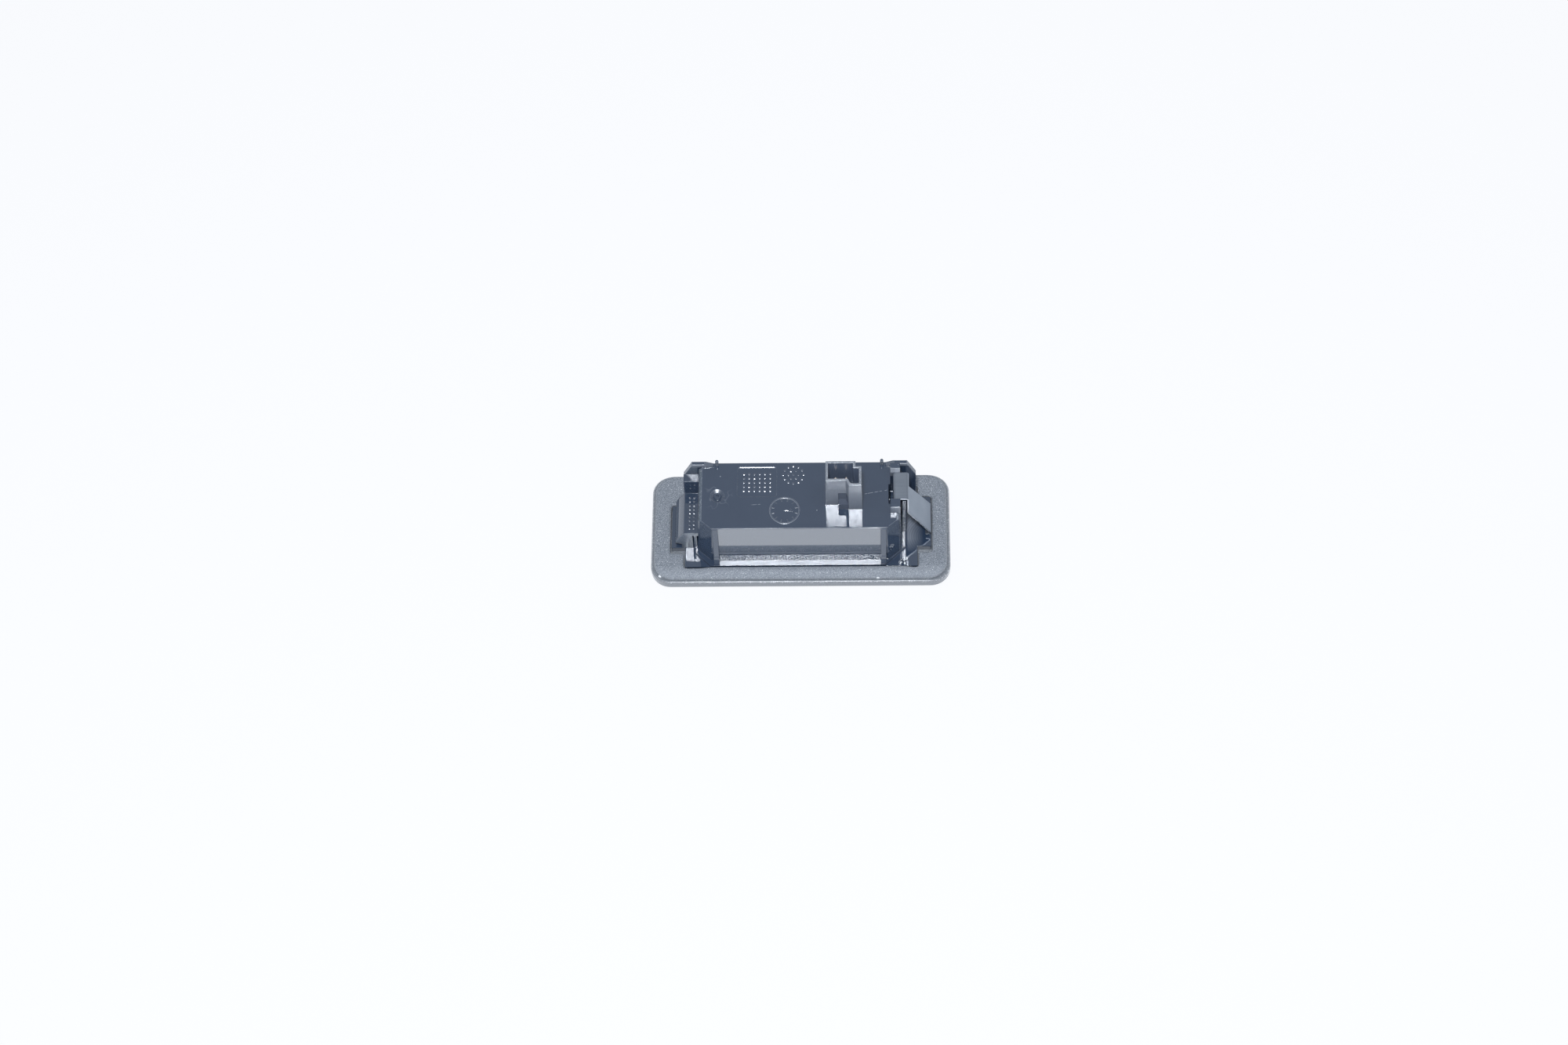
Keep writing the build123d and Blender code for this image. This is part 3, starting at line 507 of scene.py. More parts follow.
def housing_finish():
    """Black moulded plastic: polished level faces, spark-textured walls, dust, scuffs and gate blush."""
    material, tree, shader = new_finish("housing_black", IOR=2.0, Coat_IOR=2.25, Coat_Roughness=0.05)
    point = object_point(tree)
    z = split(tree, point)[2]
    at = housing_places(tree, point)
    blush, rubs_and_reflection, scratch = housing_wear(tree, point, at["level"])
    grain = use_group(tree, spark_grain, Scale=span(tree, at["above top"], MOULD_GRAIN, CONNECTOR_GRAIN))
    marks = use_group(tree, handling)
    tone = use_group(tree, mottle, Scale=180.0)["Tone"]

    # Colour: deep and polished on level faces, greyer on textured walls, with painted glints where the
    # texture catches the light
    glint = grain["Glint"]
    deep = blend(tree, tone, colour(0.026, 0.043, 0.076), colour(0.031, 0.049, 0.083))
    wall = blend(tree, glint, colour(0.055, 0.072, 0.102), colour(0.13, 0.15, 0.18))
    # Slanted top edges are paler: painted highlight
    painted_edge_highlight = blend(tree, glint, colour(0.17, 0.20, 0.24), colour(0.36, 0.40, 0.45))
    dark_wall = blend(tree, times(tree, glint, 0.3), deep, colour(0.20, 0.22, 0.26))
    wall = blend(tree, at["slanted"], wall, painted_edge_highlight)
    wall = blend(tree, largest(tree, at["plinth"], at["mark slope"]), wall, dark_wall)
    # The hook end is lightened: painted light where the light falls on it
    wall = tinted(tree, wall, at["hook end"], 0.5, colour(0.15, 0.175, 0.21))
    wall = tinted(tree, wall, at["fin"], 0.5, colour(0.12, 0.145, 0.18))
    wall = tinted(tree, wall, at["above top"], 0.6, colour(0.17, 0.19, 0.23))
    inside_grey = blend(tree, tone, colour(0.13, 0.165, 0.235), colour(0.15, 0.185, 0.26))
    latch_grey = blend(tree, tone, colour(0.075, 0.09, 0.12), colour(0.09, 0.105, 0.14))
    # The connector's rim is pale all round: painted highlight
    painted_rim_highlight = blend(tree, glint, colour(0.19, 0.21, 0.24), colour(0.42, 0.44, 0.48))
    body = blend(tree, at["textured"], deep, wall)
    body = blend(tree, at["inside"], body, inside_grey)
    body = blend(tree, at["latch"], body, latch_grey)
    body = blend(tree, at["rim"], body, painted_rim_highlight)
    # A pale tint for blush, scratches and dust, and under the clip for rub marks and painted reflection
    scuff_and_reflection = colour(0.42, 0.45, 0.50)
    for mask, share in ((blush, 0.16), (rubs_and_reflection, 0.5), (scratch, 0.55), (marks["Dust"], 0.5)):
        body = tinted(tree, body, mask, share, scuff_and_reflection)
    tree.links.new(body, shader["Base Color"])

    # Roughness: polish, and what each kind of surface adds to it
    connector_wall = times(tree, at["above top"], at["textured"])
    rough = span(tree, tone, 0.035, 0.055)
    rough = raised(tree, rough, at["textured"], 0.07)
    rough = raised(tree, rough, at["plinth step"], 0.5)
    rough = raised(tree, rough, connector_wall, 0.42)
    rough = raised(tree, rough, at["mark slope"], 0.22)
    rough = raised(tree, rough, at["front edge"], 0.3)
    rough = raised(tree, rough, largest(tree, at["inside"], at["rim"]), 0.25)
    rough = raised(tree, rough, marks["Scratch"], 0.06)
    rough = raised(tree, rough, marks["Dust"], 0.4)
    tree.links.new(rough, shader["Roughness"])
    tree.links.new(raised(tree, at["front band"], connector_wall, 0.26), shader["Coat Weight"])

    # The clear skin of the front wall leans as the wall does, and that of the connector breaks up into facets
    facet = add(tree, "TexNoise", {"Vector": point, "Scale": 5200.0, "Detail": 0.0}).outputs[0]
    facet = times(tree, calc(tree, "SUBTRACT", facet, 0.5), FACET_LEAN)
    skin_lean = plus(tree, ramp(tree, z, BODY_TOP, SHROUD_TOP, WALL_LEAN, SKIN_LEAN_AT_RIM), facet)
    skin_lean = times(tree, skin_lean, at["above top"])
    skin_lean = raised(tree, skin_lean, at["above plinth"], BAND_LEAN)
    skin_lean = times(tree, skin_lean, at["steep"])
    tree.links.new(soft_edges(tree, SMALL_EDGE, lean=skin_lean), shader["Coat Normal"])

    # The grain is shallower above the top face, and more so on the fin and the flanks of marks
    shallow = span(tree, at["above top"], 1.0, 0.6)
    shallower = span(tree, largest(tree, at["fin"], at["mark slope"]), 1.0, 0.25)
    height = times(tree, grain["Height"], at["textured"], shallow, shallower)

    # Textured walls lean back by their draft, less towards the connector's rim, and the fin the other way
    draft = ramp(tree, z, BODY_TOP, SHROUD_TOP, WALL_LEAN, 0.0)
    lean = times(tree, at["textured"], draft, span(tree, at["fin"], 1.0, -0.25))
    lean = largest(tree, lean, times(tree, at["behind hook"], 0.6 * WALL_LEAN))
    lean = raised(tree, lean, at["front band"], BAND_LEAN)
    lean = raised(tree, lean, at["mark slope"], MARK_LEAN)

    # Edges are rounded most on the hook's slope, and hardly at the latch and the edge of the top face
    edge_radius = span(tree, at["near foot"], MOULD_EDGE, SMALL_EDGE)
    edge_radius = times(tree, edge_radius, span(tree, at["crisp"], 1.0, 0.03))
    edge_radius = raised(tree, edge_radius, at["hook slope"], HOOK_EDGE)
    normal = soft_edges(tree, edge_radius, height, 1.0, GRAIN_DEEP, lean)
    tree.links.new(normal, shader["Normal"])
    return material


def painted_glint_spots(tree, base):
    """The colour of a surface with the pale spots of painted glint added where they fall on it."""
    for spot in GLINT_SPOTS:
        away = away_from(tree, object_point(tree), spot)
        base = blend(tree, ramp(tree, away, GLINT_SPOT_OUTER, GLINT_SPOT_INNER), base, colour(0.86, 0.87, 0.88))
    return base


def bezel_finish():
    """Black frame with a fine even grain, a little polished along its rim, with painted glints, a painted
    highlight on its slanted edge and painted light on its level land.
    """
    material, tree, shader = new_finish("bezel_black", IOR=2.0, Coat_IOR=2.0, Coat_Roughness=0.16)
    grain = use_group(tree, spark_grain, Scale=MOULD_GRAIN)
    marks = use_group(tree, handling, Speck_Scale=300.0)
    tone = use_group(tree, mottle, Scale=120.0)["Tone"]
    base = blend(tree, tone, colour(0.032, 0.046, 0.070), colour(0.040, 0.054, 0.078))
    # Painted glints where grain facets catch the light
    base = tinted(tree, base, grain["Glint"], 0.25, colour(0.2, 0.21, 0.22))
    base = tinted(tree, base, marks["Dust"], 0.6, colour(0.45, 0.46, 0.48))
    rise = true_rise(tree)
    # The slanted edge is paler: painted highlight
    edge = within(tree, rise, 0.7, 0.2)
    painted_edge_highlight = blend(tree, grain["Glint"], colour(0.20, 0.21, 0.23), colour(0.46, 0.47, 0.49))
    base = blend(tree, edge, base, painted_edge_highlight)
    # Level faces that face up are paler: painted light
    level = use_group(tree, level_faces)["Level"]
    land = blend(tree, grain["Glint"], colour(0.15, 0.165, 0.185), colour(0.28, 0.30, 0.32))
    facing_up = above(tree, rise, 0.5)
    base = blend(tree, times(tree, level, facing_up), base, land)
    tree.links.new(painted_glint_spots(tree, base), shader["Base Color"])
    rough = raised(tree, span(tree, tone, 0.2, 0.28), marks["Scratch"], 0.1)
    rough = raised(tree, rough, level, 0.2)
    tree.links.new(rough, shader["Roughness"])
    tree.links.new(inverse(tree, level), shader["Coat Weight"])
    tree.links.new(soft_edges(tree, 0.35 * MM, grain["Height"], 0.1, 0.03 * MM), shader["Normal"])
    return material


def foam_finish():
    """Grey closed-cell foam with pale specks in its skin, painted glints, pores darkened as painted shade and
    painted light on its near strip.
    """
    material, tree, shader = new_finish("gasket_foam", IOR=1.45, Sheen_Weight=0.15, Sheen_Roughness=0.5)
    point = object_point(tree)
    tone = use_group(tree, mottle, Scale=220.0)["Tone"]
    pale_specks = use_group(tree, handling, Speck_Scale=1500.0, Speck_Size=0.2)["Dust"]
    pores = add(tree, "TexVoronoi", {"Vector": point, "Scale": 2600.0})
    pore_lot = add(tree, "SeparateColor", {0: pores.outputs["Color"]}).outputs[0]
    pit = ramp(tree, pores.outputs["Distance"], 0.4, 0.15)
    pore = times(tree, pit, above(tree, pore_lot, 0.7))
    fine = add(tree, "TexNoise", {"Vector": point, "Scale": 5200.0, "Detail": 3.0}).outputs[0]
    # The near strip is lighter and the rest darker: painted light and painted shade
    lit_near_share = ramp(tree, split(tree, point)[1], FLANGE_NEAR + 0.5 * MM, FLANGE_NEAR - 0.5 * MM)
    shaded_far_tone = blend(tree, tone, colour(0.112, 0.131, 0.158), colour(0.130, 0.149, 0.176))
    lit_near_tone = blend(tree, tone, colour(0.177, 0.197, 0.226), colour(0.203, 0.223, 0.252))
    base = blend(tree, lit_near_share, shaded_far_tone, lit_near_tone)
    base = blend(tree, ramp(tree, fine, 0.40, 0.72), base, colour(0.36, 0.38, 0.41))
    # Pores are darkened: painted shade in the pits
    base = tinted(tree, base, pore, 0.35, colour(0.10, 0.115, 0.14))
    # Pale flecks where grain facets catch the light: painted glints
    foam_glints = use_group(tree, spark_grain, Scale=6500.0)["Glint"]
    base = tinted(tree, base, foam_glints, 0.35, colour(0.56, 0.59, 0.64))
    base = tinted(tree, base, pale_specks, 0.6, colour(0.75, 0.76, 0.78))
    tree.links.new(painted_glint_spots(tree, base), shader["Base Color"])
    tree.links.new(span(tree, tone, 0.62, 0.8), shader["Roughness"])
    height = calc(tree, "SUBTRACT", fine, pore)
    tree.links.new(bumps(tree, height, 0.5, 0.08 * MM), shader["Normal"])
    return material


def spring_steel_finish():
    """Satin spring steel with the rolling grain along the strip."""
    material, tree, shader = new_finish("clip_steel", Metallic=1.0)
    point = object_point(tree)
    stretched = add(tree, "Mapping", {"Vector": point, "Scale": (160.0, 6500.0, 160.0)})
    rolled = add(tree, "TexNoise", {"Vector": stretched.outputs[0], "Scale": 1.0, "Detail": 3.0}).outputs[0]
    tone = use_group(tree, mottle, Scale=160.0)["Tone"]
    marks = use_group(tree, handling, Speck_Scale=500.0)
    base = blend(tree, tone, colour(0.265, 0.30, 0.35), colour(0.325, 0.36, 0.41))
    base = blend(tree, ramp(tree, rolled, 0.5, 0.8, 0.0, 0.5), base, colour(0.40, 0.43, 0.47))
    base = tinted(tree, base, marks["Dust"], 0.5, colour(0.75, 0.76, 0.77))
    # Cut edges of the strip: darker low down as painted shade, paler high up as painted highlight
    sideways = calc(tree, "ABSOLUTE", split(tree, add(tree, "NewGeometry").outputs["Normal"])[1])
    sheared = ramp(tree, sideways, 0.8, 0.95)
    bright = ramp(tree, split(tree, point)[2], CLIP_EDGE_SHADE_TO, CLIP_EDGE_LIT_FROM)
    cut_edge_lit_and_shaded = blend(tree, bright, colour(0.20, 0.22, 0.25), colour(0.72, 0.74, 0.77))
    base = blend(tree, sheared, base, cut_edge_lit_and_shaded)
    tree.links.new(base, shader["Base Color"])
    tree.links.new(ramp(tree, rolled, 0.3, 0.7, 0.40, 0.50), shader["Roughness"])
    tree.links.new(soft_edges(tree, 0.15 * MM, rolled, 0.08, 0.02 * MM), shader["Normal"])
    return material


def pin_finish():
    """Copper-coloured contact with a plated tip, made pale partly as a painted highlight."""
    material, tree, shader = new_finish("pin_plated", Metallic=1.0)
    height = split(tree, object_point(tree))[2]
    tip = ramp(tree, height, PLATED_AND_LIT_FROM, PLATED_AND_LIT_FULL)
    tone = use_group(tree, mottle, Scale=900.0)["Tone"]
    base = blend(tree, tip, colour(0.66, 0.46, 0.34), colour(1.0, 0.88, 0.76))
    base = tinted(tree, base, tone, 0.3, colour(0.85, 0.62, 0.5))
    tree.links.new(base, shader["Base Color"])
    tree.links.new(span(tree, tone, 0.4, 0.5), shader["Roughness"])
    tree.links.new(soft_edges(tree, 0.25 * MM), shader["Normal"])
    return material


def lens_finish():
    """Clear polished plastic, a little hazy on the mould side."""
    material, tree, shader = new_finish("lens_clear", IOR=1.56, Transmission_Weight=1.0)
    tone = use_group(tree, mottle, Scale=140.0)["Tone"]
    marks = use_group(tree, handling, Speck_Scale=350.0)
    base = blend(tree, tone, colour(0.93, 0.955, 0.97), colour(0.97, 0.98, 0.985))
    tree.links.new(base, shader["Base Color"])
    rough = raised(tree, span(tree, tone, 0.02, 0.05), marks["Scratch"], 0.1)
    tree.links.new(rough, shader["Roughness"])
    return material


def board_finish():
    """Green solder mask over copper tracks."""
    material, tree, shader = new_finish("board_green", IOR=1.5)
    point = object_point(tree)
    off, on = colour(0, 0, 0), colour(1, 1, 1)
    layout = {"Scale": 160.0, "Mortar Size": 0.06, "Color1": off, "Color2": off, "Mortar": on}
    tracks = add(tree, "TexBrick", {"Vector": point, **layout})
    track = add(tree, "SeparateColor", {0: tracks.outputs["Color"]}).outputs[0]
    tone = use_group(tree, mottle, Scale=200.0)["Tone"]
    base = blend(tree, tone, colour(0.02, 0.11, 0.055), colour(0.03, 0.14, 0.07))
    base = tinted(tree, base, track, 0.6, colour(0.08, 0.24, 0.10))
    tree.links.new(base, shader["Base Color"])
    tree.links.new(span(tree, tone, 0.3, 0.4), shader["Roughness"])
    tree.links.new(bumps(tree, track, 0.3, 0.03 * MM), shader["Normal"])
    return material


def plain_moulded_finish(name, first, second, rough_low, rough_high):
    """Small moulded part whose tone and gloss change a little over its surface."""
    material, tree, shader = new_finish(name, IOR=1.5)
    tone = use_group(tree, mottle, Scale=900.0)["Tone"]
    tree.links.new(blend(tree, tone, first, second), shader["Base Color"])
    tree.links.new(span(tree, tone, rough_low, rough_high), shader["Roughness"])
    tree.links.new(soft_edges(tree, SMALL_EDGE, tone), shader["Normal"])
    return material


def capped_finish(name, middle, half_body, axis, first, second):
    """Chip part with tinned ends: beyond half_body from its middle along one axis it is metal."""
    material, tree, shader = new_finish(name, IOR=1.5)
    place = split(tree, object_point(tree))[axis]
    away = calc(tree, "ABSOLUTE", calc(tree, "SUBTRACT", place, middle))
    tinned = above(tree, away, half_body)
    tone = use_group(tree, mottle, Scale=1200.0)["Tone"]
    body = blend(tree, tone, first, second)
    tin = blend(tree, tone, colour(0.62, 0.62, 0.63), colour(0.78, 0.78, 0.78))
    tree.links.new(blend(tree, tinned, body, tin), shader["Base Color"])
    tree.links.new(tinned, shader["Metallic"])
    tree.links.new(span(tree, tone, 0.26, 0.4), shader["Roughness"])
    tree.links.new(soft_edges(tree, SMALL_EDGE, tone), shader["Normal"])
    return material


def solder_finish():
    """Bright solder with a faint frosted skin."""
    material, tree, shader = new_finish("solder", Metallic=1.0)
    tone = use_group(tree, mottle, Scale=1500.0)["Tone"]
    base = blend(tree, tone, colour(0.6, 0.6, 0.62), colour(0.78, 0.78, 0.8))
    tree.links.new(base, shader["Base Color"])
    tree.links.new(span(tree, tone, 0.18, 0.36), shader["Roughness"])
    tree.links.new(bumps(tree, tone, 0.2, 0.05 * MM), shader["Normal"])
    return material


def dress(piece, material):
    """Gives a piece one material all over."""
    piece.data.materials.clear()
    piece.data.materials.append(material)


housing_black = housing_finish()
gasket_grey = foam_finish()


def dress_nodes():
    """A finish for every CAD node."""
    dress(nodes["housing"], housing_black)
    dress(nodes["bezel"], bezel_finish())
    dress(nodes["lens"], lens_finish())
    dress(nodes["spring_clip"], spring_steel_finish())
    dress(nodes["circuit_board"], board_finish())
    dress(nodes["gasket"], gasket_grey)
    pin = pin_finish()
    solder = solder_finish()
    for number in (1, 2):
        dress(nodes[f"terminal_pin_{number}"], pin)
        dress(nodes[f"solder_joint_{number}"], solder)
    white = (colour(0.8, 0.8, 0.77), colour(0.88, 0.88, 0.85))
    yellow = (colour(0.8, 0.62, 0.1), colour(0.9, 0.75, 0.2))
    package = plain_moulded_finish("led_white", *white, 0.4, 0.5)
    phosphor = plain_moulded_finish("led_phosphor", *yellow, 0.25, 0.4)
    for number in (1, 2, 3):
        dress(nodes[f"led_package_{number}"], package)
        dress(nodes[f"led_phosphor_{number}"], phosphor)
    glaze = (colour(0.018, 0.018, 0.02), colour(0.035, 0.035, 0.04))
    for number in (1, 2, 3, 4):
        low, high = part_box(f"resistor_{number}")
        middle = (low.x + high.x) / 2
        finish = capped_finish(f"resistor_black_{number}", middle, RESISTOR_HALF_BODY, 0, *glaze)
        dress(nodes[f"resistor_{number}"], finish)
    ceramic = (colour(0.38, 0.26, 0.15), colour(0.46, 0.34, 0.2))
    low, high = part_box("capacitor")
    finish = capped_finish("capacitor_tan", (low.y + high.y) / 2, CAPACITOR_HALF_BODY, 1, *ceramic)
    dress(nodes["capacitor"], finish)
    low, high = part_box("diode")
    finish = capped_finish("diode_black", (low.y + high.y) / 2, DIODE_HALF_BODY, 1, *glaze)
    dress(nodes["diode"], finish)


# Added pieces

def finished_piece(name, shape, material, smooth=True):
    """Turns a bmesh into a piece that rides on the lamp and takes a finish."""
    mesh = bpy.data.meshes.new(name)
    shape.to_mesh(mesh)
    shape.free()
    if smooth:
        mesh.shade_smooth()
    else:
        mesh.shade_flat()
    piece = bpy.data.objects.new(name, mesh)
    scene.collection.objects.link(piece)
    dress(piece, material)
    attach(piece, "root")
    return piece


def bell(value, start, end, fade):
    """1 between start and end, falling smoothly to 0 over the fade at each side."""
    rise = min(max((value - start) / fade, 0.0), 1.0)
    fall = min(max((end - value) / fade, 0.0), 1.0)
    return (rise * rise * (3 - 2 * rise)) * (fall * fall * (3 - 2 * fall))


def foam_gasket():
    """Foam ring: the CAD ring with softened edges, a wavy skin and a swollen strip along the near side."""
    merge_distance = 0.005 * MM
    voxel = 0.3 * MM
    swell = 0.3 * MM
    squeeze = 0.17 * MM
    ripple = 0.05 * MM
    ripple_scale = 260.0
    land_near = -14.0 * MM
    swollen_from = -24.5 * MM
    swollen_to = 27.5 * MM
    edge_reach = 1.0 * MM
    end_fade, strip_fade, edge_fade = 3.0 * MM, 0.9 * MM, 0.6 * MM
    smoothings = 3

    ring = bmesh.new()
    ring.from_mesh(nodes["gasket"].data)
    bmesh.ops.remove_doubles(ring, verts=ring.verts, dist=merge_distance)
    rough_mesh = bpy.data.meshes.new("gasket_rough")
    ring.to_mesh(rough_mesh)
    ring.free()
    rough = bpy.data.objects.new("gasket_rough", rough_mesh)
    scene.collection.objects.link(rough)
    remesh = rough.modifiers.new("cells", "REMESH")
    remesh.mode = "VOXEL"
    remesh.voxel_size = voxel
    graph = bpy.context.evaluated_depsgraph_get()
    fine_mesh = bpy.data.meshes.new_from_object(rough.evaluated_get(graph))
    bpy.data.objects.remove(rough)

    foam = bmesh.new()
    foam.from_mesh(fine_mesh)
    all_axes = {"use_axis_x": True, "use_axis_y": True, "use_axis_z": True}
    for _ in range(smoothings):
        bmesh.ops.smooth_vert(foam, verts=foam.verts, factor=0.5, **all_axes)
    foam.normal_update()
    for vert in foam.verts:
        on_top = min(max((vert.co.z - BEZEL_TOP) / MM - 1.0, 0.0), 1.0)
        wave = noise.noise(vert.co * ripple_scale) * ripple
        along = bell(vert.co.x, swollen_from, swollen_to, end_fade)
        strip = bell(vert.co.y, land_near, FLANGE_NEAR + edge_reach, strip_fade)
        edge = bell(vert.co.y, FLANGE_NEAR - edge_reach, FLANGE_NEAR + edge_reach, edge_fade)
        vert.co.y += along * squeeze * edge
        vert.co.z += on_top * (wave + swell * strip * along)
    piece = finished_piece("gasket_foam", foam, gasket_grey)
    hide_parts("gasket")


def frustum(shape, sides, low_radius, high_radius, rise):
    """Low stud with flat flanks, one facing -Y, about the origin; gives its vertices."""
    made = bmesh.ops.create_cone(shape, cap_ends=True, segments=sides, radius1=low_radius,
                                 radius2=high_radius, depth=rise + ROOT)["verts"]
    turn = Matrix.Rotation(math.pi / sides, 3, "Z")
    bmesh.ops.rotate(shape, verts=made, cent=(0, 0, 0), matrix=turn)
    return made


def raised_dot(shape, middle, radius, rise, uneven):
    """Low flat-topped stud with sloping flanks, rooted in what carries it."""
    slope = math.tan(FLANK) * (1.0 + uneven * noise.noise(middle * UNEVEN_SCALE))
    made = frustum(shape, 8, radius + ROOT / slope, max(radius - rise / slope, LEAST_RADIUS), rise)
    bmesh.ops.translate(shape, verts=made, vec=middle + Vector((0, 0, (rise - ROOT) / 2)))


def raised_bar(shape, length, width, rise):
    """Low bar along X with sloping flanks, rooted below the X-Y plane; gives its vertices."""
    slope = math.tan(FLANK)
    corner = math.sqrt(2)
    low_half, high_half = width / 2 + ROOT / slope, width / 2 - rise / slope
    made = frustum(shape, 4, low_half * corner, high_half * corner, rise)
    bmesh.ops.scale(shape, verts=made, vec=(length / width, 1, 1))
    bmesh.ops.translate(shape, verts=made, vec=(0, 0, (rise - ROOT) / 2))
    return made


def mark_finish():
    """Housing plastic as it comes from a spark-eroded cavity, for the small raised marks."""
    material, tree, shader = new_finish("moulded_marks", IOR=2.0)
    tone = use_group(tree, mottle, Scale=700.0)["Tone"]
    grain = use_group(tree, spark_grain, Scale=7000.0)
    base = blend(tree, tone, colour(0.030, 0.047, 0.080), colour(0.045, 0.060, 0.090))
    # Painted glints where grain facets catch the light
    base = tinted(tree, base, grain["Glint"], 0.3, colour(0.24, 0.26, 0.30))
    tree.links.new(base, shader["Base Color"])
    tree.links.new(span(tree, tone, 0.22, 0.4), shader["Roughness"])
    tree.links.new(bumps(tree, grain["Height"], 0.1, 0.02 * MM), shader["Normal"])
    return material


mark_black = mark_finish()


def panel_dots():
    """Plain grid of moulded dots in the sunk panel of the top face."""
    across, along = 6, 5
    pitch_x, pitch_y = 1.25 * MM, 1.15 * MM
    radius, rise = 0.38 * MM, 0.09 * MM
    floor_height = Vector((0, 0, BODY_TOP - PANEL_SUNK))
    shape = bmesh.new()
    for column in range(across):
        for row in range(along):
            right = (column - (across - 1) / 2) * pitch_x
            back = (row - (along - 1) / 2) * pitch_y
            middle = PANEL_MIDDLE + Vector((right, back, 0)) + floor_height
            raised_dot(shape, middle, radius, rise, uneven=0.75)
    finished_piece("panel_dots", shape, mark_black, smooth=False)


def hook_dots():
    """Two rows of grip dots along the top of the hook."""
    count = 9
    pitch = 1.05 * MM
    half_gap = 0.5 * MM
    radius, rise = 0.34 * MM, 0.09 * MM
    shape = bmesh.new()
    for number in range(count):
        for side in (-half_gap, half_gap):
            offset = Vector((side, (number - (count - 1) / 2) * pitch, HOOK_TOP))
            raised_dot(shape, HOOK_MIDDLE + offset, radius, rise, uneven=0.75)
    finished_piece("hook_dots", shape, mark_black, smooth=False)


def round_dots():
    """Round patch of plain dots beside the panel: two circles of dots about a middle one."""
    radius, rise = 0.36 * MM, 0.08 * MM
    shape = bmesh.new()
    for count, distance in ((1, 0.0), (6, 1.2 * MM), (12, 2.4 * MM)):
        for number in range(count):
            angle = 2 * math.pi * number / count
            offset = Vector((math.cos(angle) * distance, math.sin(angle) * distance, BODY_TOP))
            raised_dot(shape, ROUND_MIDDLE + offset, radius, rise, uneven=0.6)
    finished_piece("round_dots", shape, mark_black, smooth=False)


def dial_marks():
    """Plain dial inside the ring of the top face: ticks round the ring and one pointer."""
    ticks = 12
    rise = 0.06 * MM
    head_radius = 0.6 * MM
    tick_length, tick_width, tick_inset = 0.8 * MM, 0.34 * MM, 0.9 * MM
    stem_length, stem_width = 1.3 * MM, 0.36 * MM
    stem_middle, head_middle = 0.5 * MM, 1.4 * MM
    shape = bmesh.new()
    for number in range(ticks):
        angle = 2 * math.pi * (number + 0.5) / ticks
        tick = raised_bar(shape, tick_length, tick_width, rise)
        bmesh.ops.translate(shape, verts=tick, vec=(RING_RADIUS - tick_inset, 0, 0))
        bmesh.ops.rotate(shape, verts=tick, cent=(0, 0, 0), matrix=Matrix.Rotation(angle, 3, "Z"))
    stem = raised_bar(shape, stem_length, stem_width, rise)
    bmesh.ops.translate(shape, verts=stem, vec=(stem_middle, 0, 0))
    head = bmesh.ops.create_cone(shape, cap_ends=True, segments=3, radius1=head_radius,
                                 radius2=head_radius, depth=2 * rise)["verts"]
    bmesh.ops.translate(shape, verts=head, vec=(head_middle, 0, 0))
    bmesh.ops.translate(shape, verts=shape.verts, vec=RING_MIDDLE + Vector((0, 0, BODY_TOP)))
    finished_piece("dial_marks", shape, mark_black, smooth=False)


def sealant_finish():
    """Shiny dark sealant with pale patches that are painted glints."""
    material, tree, shader = new_finish("sealant_glint_patches", IOR=1.5)
    blotchy = {"Vector": object_point(tree), "Scale": 2100.0, "Detail": 2.0}
    patches = add(tree, "TexNoise", blotchy).outputs[0]
    # Pale patches: painted glints
    painted_glint_patches = ramp(tree, patches, 0.47, 0.54)
    base = blend(tree, painted_glint_patches, colour(0.04, 0.055, 0.08), colour(0.84, 0.86, 0.88))
    tree.links.new(base, shader["Base Color"])
    tree.links.new(ramp(tree, patches, 0.3, 0.7, 0.08, 0.2), shader["Roughness"])
    return material


def sealant_drop():
    """Uneven drop of sealant on the flange by the right end of the front wall, run together from beads."""
    middle = Vector((24.7, -10.2, 4.15)) * MM
    beads = ((0.0, 0.0, 0.62), (0.75, 0.55, 0.5), (-0.65, -0.35, 0.45), (0.35, -0.55, 0.4))
    shape = bmesh.new()
    for right, back, size in beads:
        made = bmesh.ops.create_icosphere(shape, subdivisions=4, radius=1.0)["verts"]
        for vert in made:
            vert.co *= 1.0 + 0.5 * noise.noise(vert.co * 2.6 + Vector((3, 1 + right * 9, 7)))
        bmesh.ops.scale(shape, verts=made, vec=Vector((size, size, 0.7 * size)) * MM)
        bmesh.ops.translate(shape, verts=made, vec=middle + Vector((right, back, 0)) * MM)
    finished_piece("sealant_drop", shape, sealant_finish())


# Floor, light and camera

def pale_floor():
    """Large white floor that still takes a soft shadow."""
    material = bpy.data.materials.new("floor_white")
    material.use_nodes = True
    tree = material.node_tree
    tree.nodes.clear()
    matt = add(tree, "BsdfDiffuse", {"Color": colour(0.9, 0.905, 0.91)})
    path = add(tree, "LightPath").outputs
    tint = blend(tree, path["Is Glossy Ray"], colour(0.97, 0.978, 1.0), ROOM_TINT)
    white = add(tree, "Emission", {"Color": tint, "Strength": 1.0})
    seen = largest(tree, path["Is Camera Ray"], path["Is Glossy Ray"], path["Is Transmission Ray"])
    share = times(tree, seen, FLOOR_WHITE_SHARE)
    mixed = add(tree, "MixShader", {0: share, 1: matt.outputs[0], 2: white.outputs[0]})
    add(tree, "OutputMaterial", {"Surface": mixed.outputs[0]})
    shape = bmesh.new()
    bmesh.ops.create_grid(shape, x_segments=1, y_segments=1, size=FLOOR_SIZE / 2)
    mesh = bpy.data.meshes.new("floor")
    shape.to_mesh(mesh)
    shape.free()
    floor = bpy.data.objects.new("floor", mesh)
    scene.collection.objects.link(floor)
    dress(floor, material)


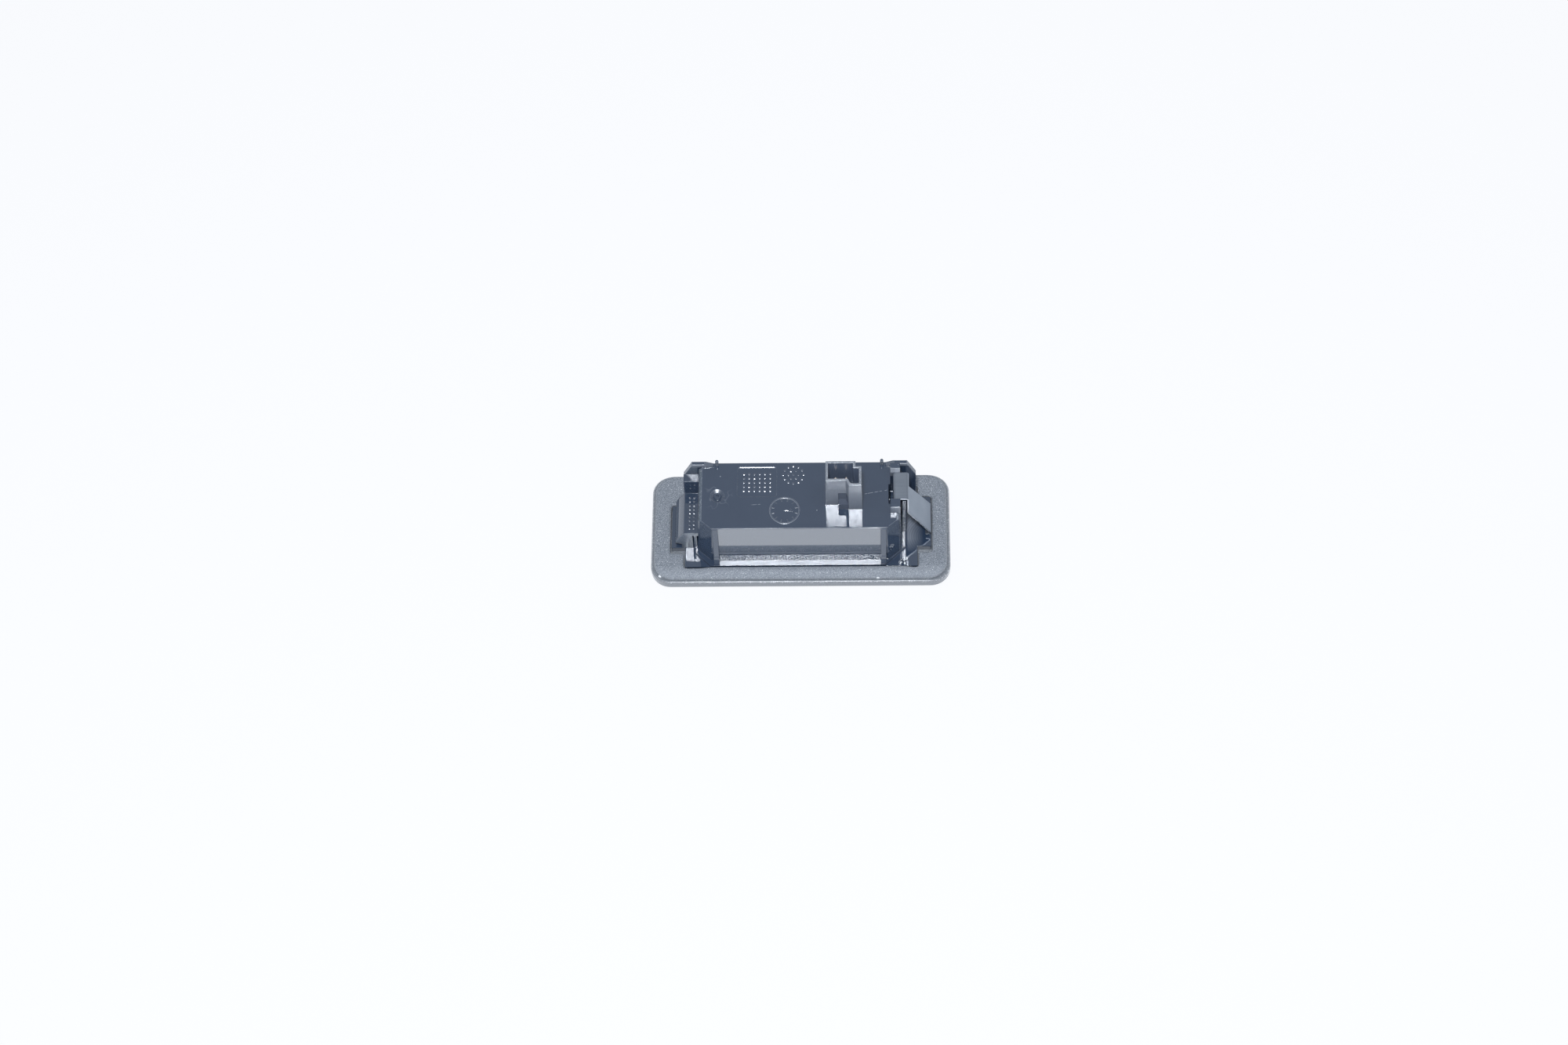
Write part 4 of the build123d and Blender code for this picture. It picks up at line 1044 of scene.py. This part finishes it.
def studio_world():
    """Pale room: bright at the horizon, dimmer overhead."""
    world = bpy.data.worlds.new("room")
    scene.world = world
    world.use_nodes = True
    tree = world.node_tree
    tree.nodes.clear()
    up = split(tree, add(tree, "TexCoord").outputs["Generated"])[2]
    level = ramp(tree, up, 0.0, 0.9, HORIZON_LEVEL, ZENITH_LEVEL)
    path = add(tree, "LightPath").outputs
    seen = largest(tree, path["Is Camera Ray"], path["Is Transmission Ray"])
    strength = largest(tree, level, seen)
    tint = blend(tree, seen, ROOM_TINT, colour(0.965, 0.98, 1.0))
    light = add(tree, "Background", {"Color": tint, "Strength": strength})
    add(tree, "OutputWorld", {"Surface": light.outputs[0]})


def direction(azimuth, elevation):
    """Unit vector from the lamp towards a place seen at these angles."""
    level = math.cos(elevation)
    return Vector((math.sin(azimuth) * level, -math.cos(azimuth) * level, math.sin(elevation)))


def key_light():
    """Soft light just above the camera."""
    light = bpy.data.lights.new("key", "AREA")
    light.shape = "DISK"
    light.size = KEY_SIZE
    light.energy = KEY_POWER
    light.color = LIGHT_TINT
    towards = direction(KEY_AZIMUTH, KEY_ELEVATION)
    lamp = bpy.data.objects.new("key", light)
    lamp.location = towards * KEY_DISTANCE
    lamp.rotation_euler = towards.to_track_quat("Z", "Y").to_euler()
    scene.collection.objects.link(lamp)


def photo_camera():
    """Camera at the photograph's viewing angle, with its small turn about the line of sight."""
    data = bpy.data.cameras.new("camera")
    data.sensor_width = SENSOR_WIDTH
    data.lens = FOCAL_PIXELS / PHOTO_WIDTH * SENSOR_WIDTH
    data.shift_x = -TARGET_RIGHT_PIXELS / PHOTO_WIDTH
    data.shift_y = TARGET_DOWN_PIXELS / PHOTO_WIDTH
    back = direction(CAMERA_AZIMUTH, CAMERA_ELEVATION)
    level = Vector((math.cos(CAMERA_AZIMUTH), math.sin(CAMERA_AZIMUTH), 0))
    upward = back.cross(level)
    right = math.cos(CAMERA_ROLL) * level - math.sin(CAMERA_ROLL) * upward
    up = math.sin(CAMERA_ROLL) * level + math.cos(CAMERA_ROLL) * upward
    camera = bpy.data.objects.new("camera", data)
    turn = Matrix((right, up, back)).transposed().to_4x4()
    camera.matrix_world = Matrix.Translation(CAMERA_TARGET + back * CAMERA_DISTANCE) @ turn
    scene.collection.objects.link(camera)
    scene.camera = camera


scene.view_settings.view_transform = "Standard"
dress_nodes()
foam_gasket()
panel_dots()
hook_dots()
round_dots()
dial_marks()
sealant_drop()
pale_floor()
studio_world()
key_light()
photo_camera()
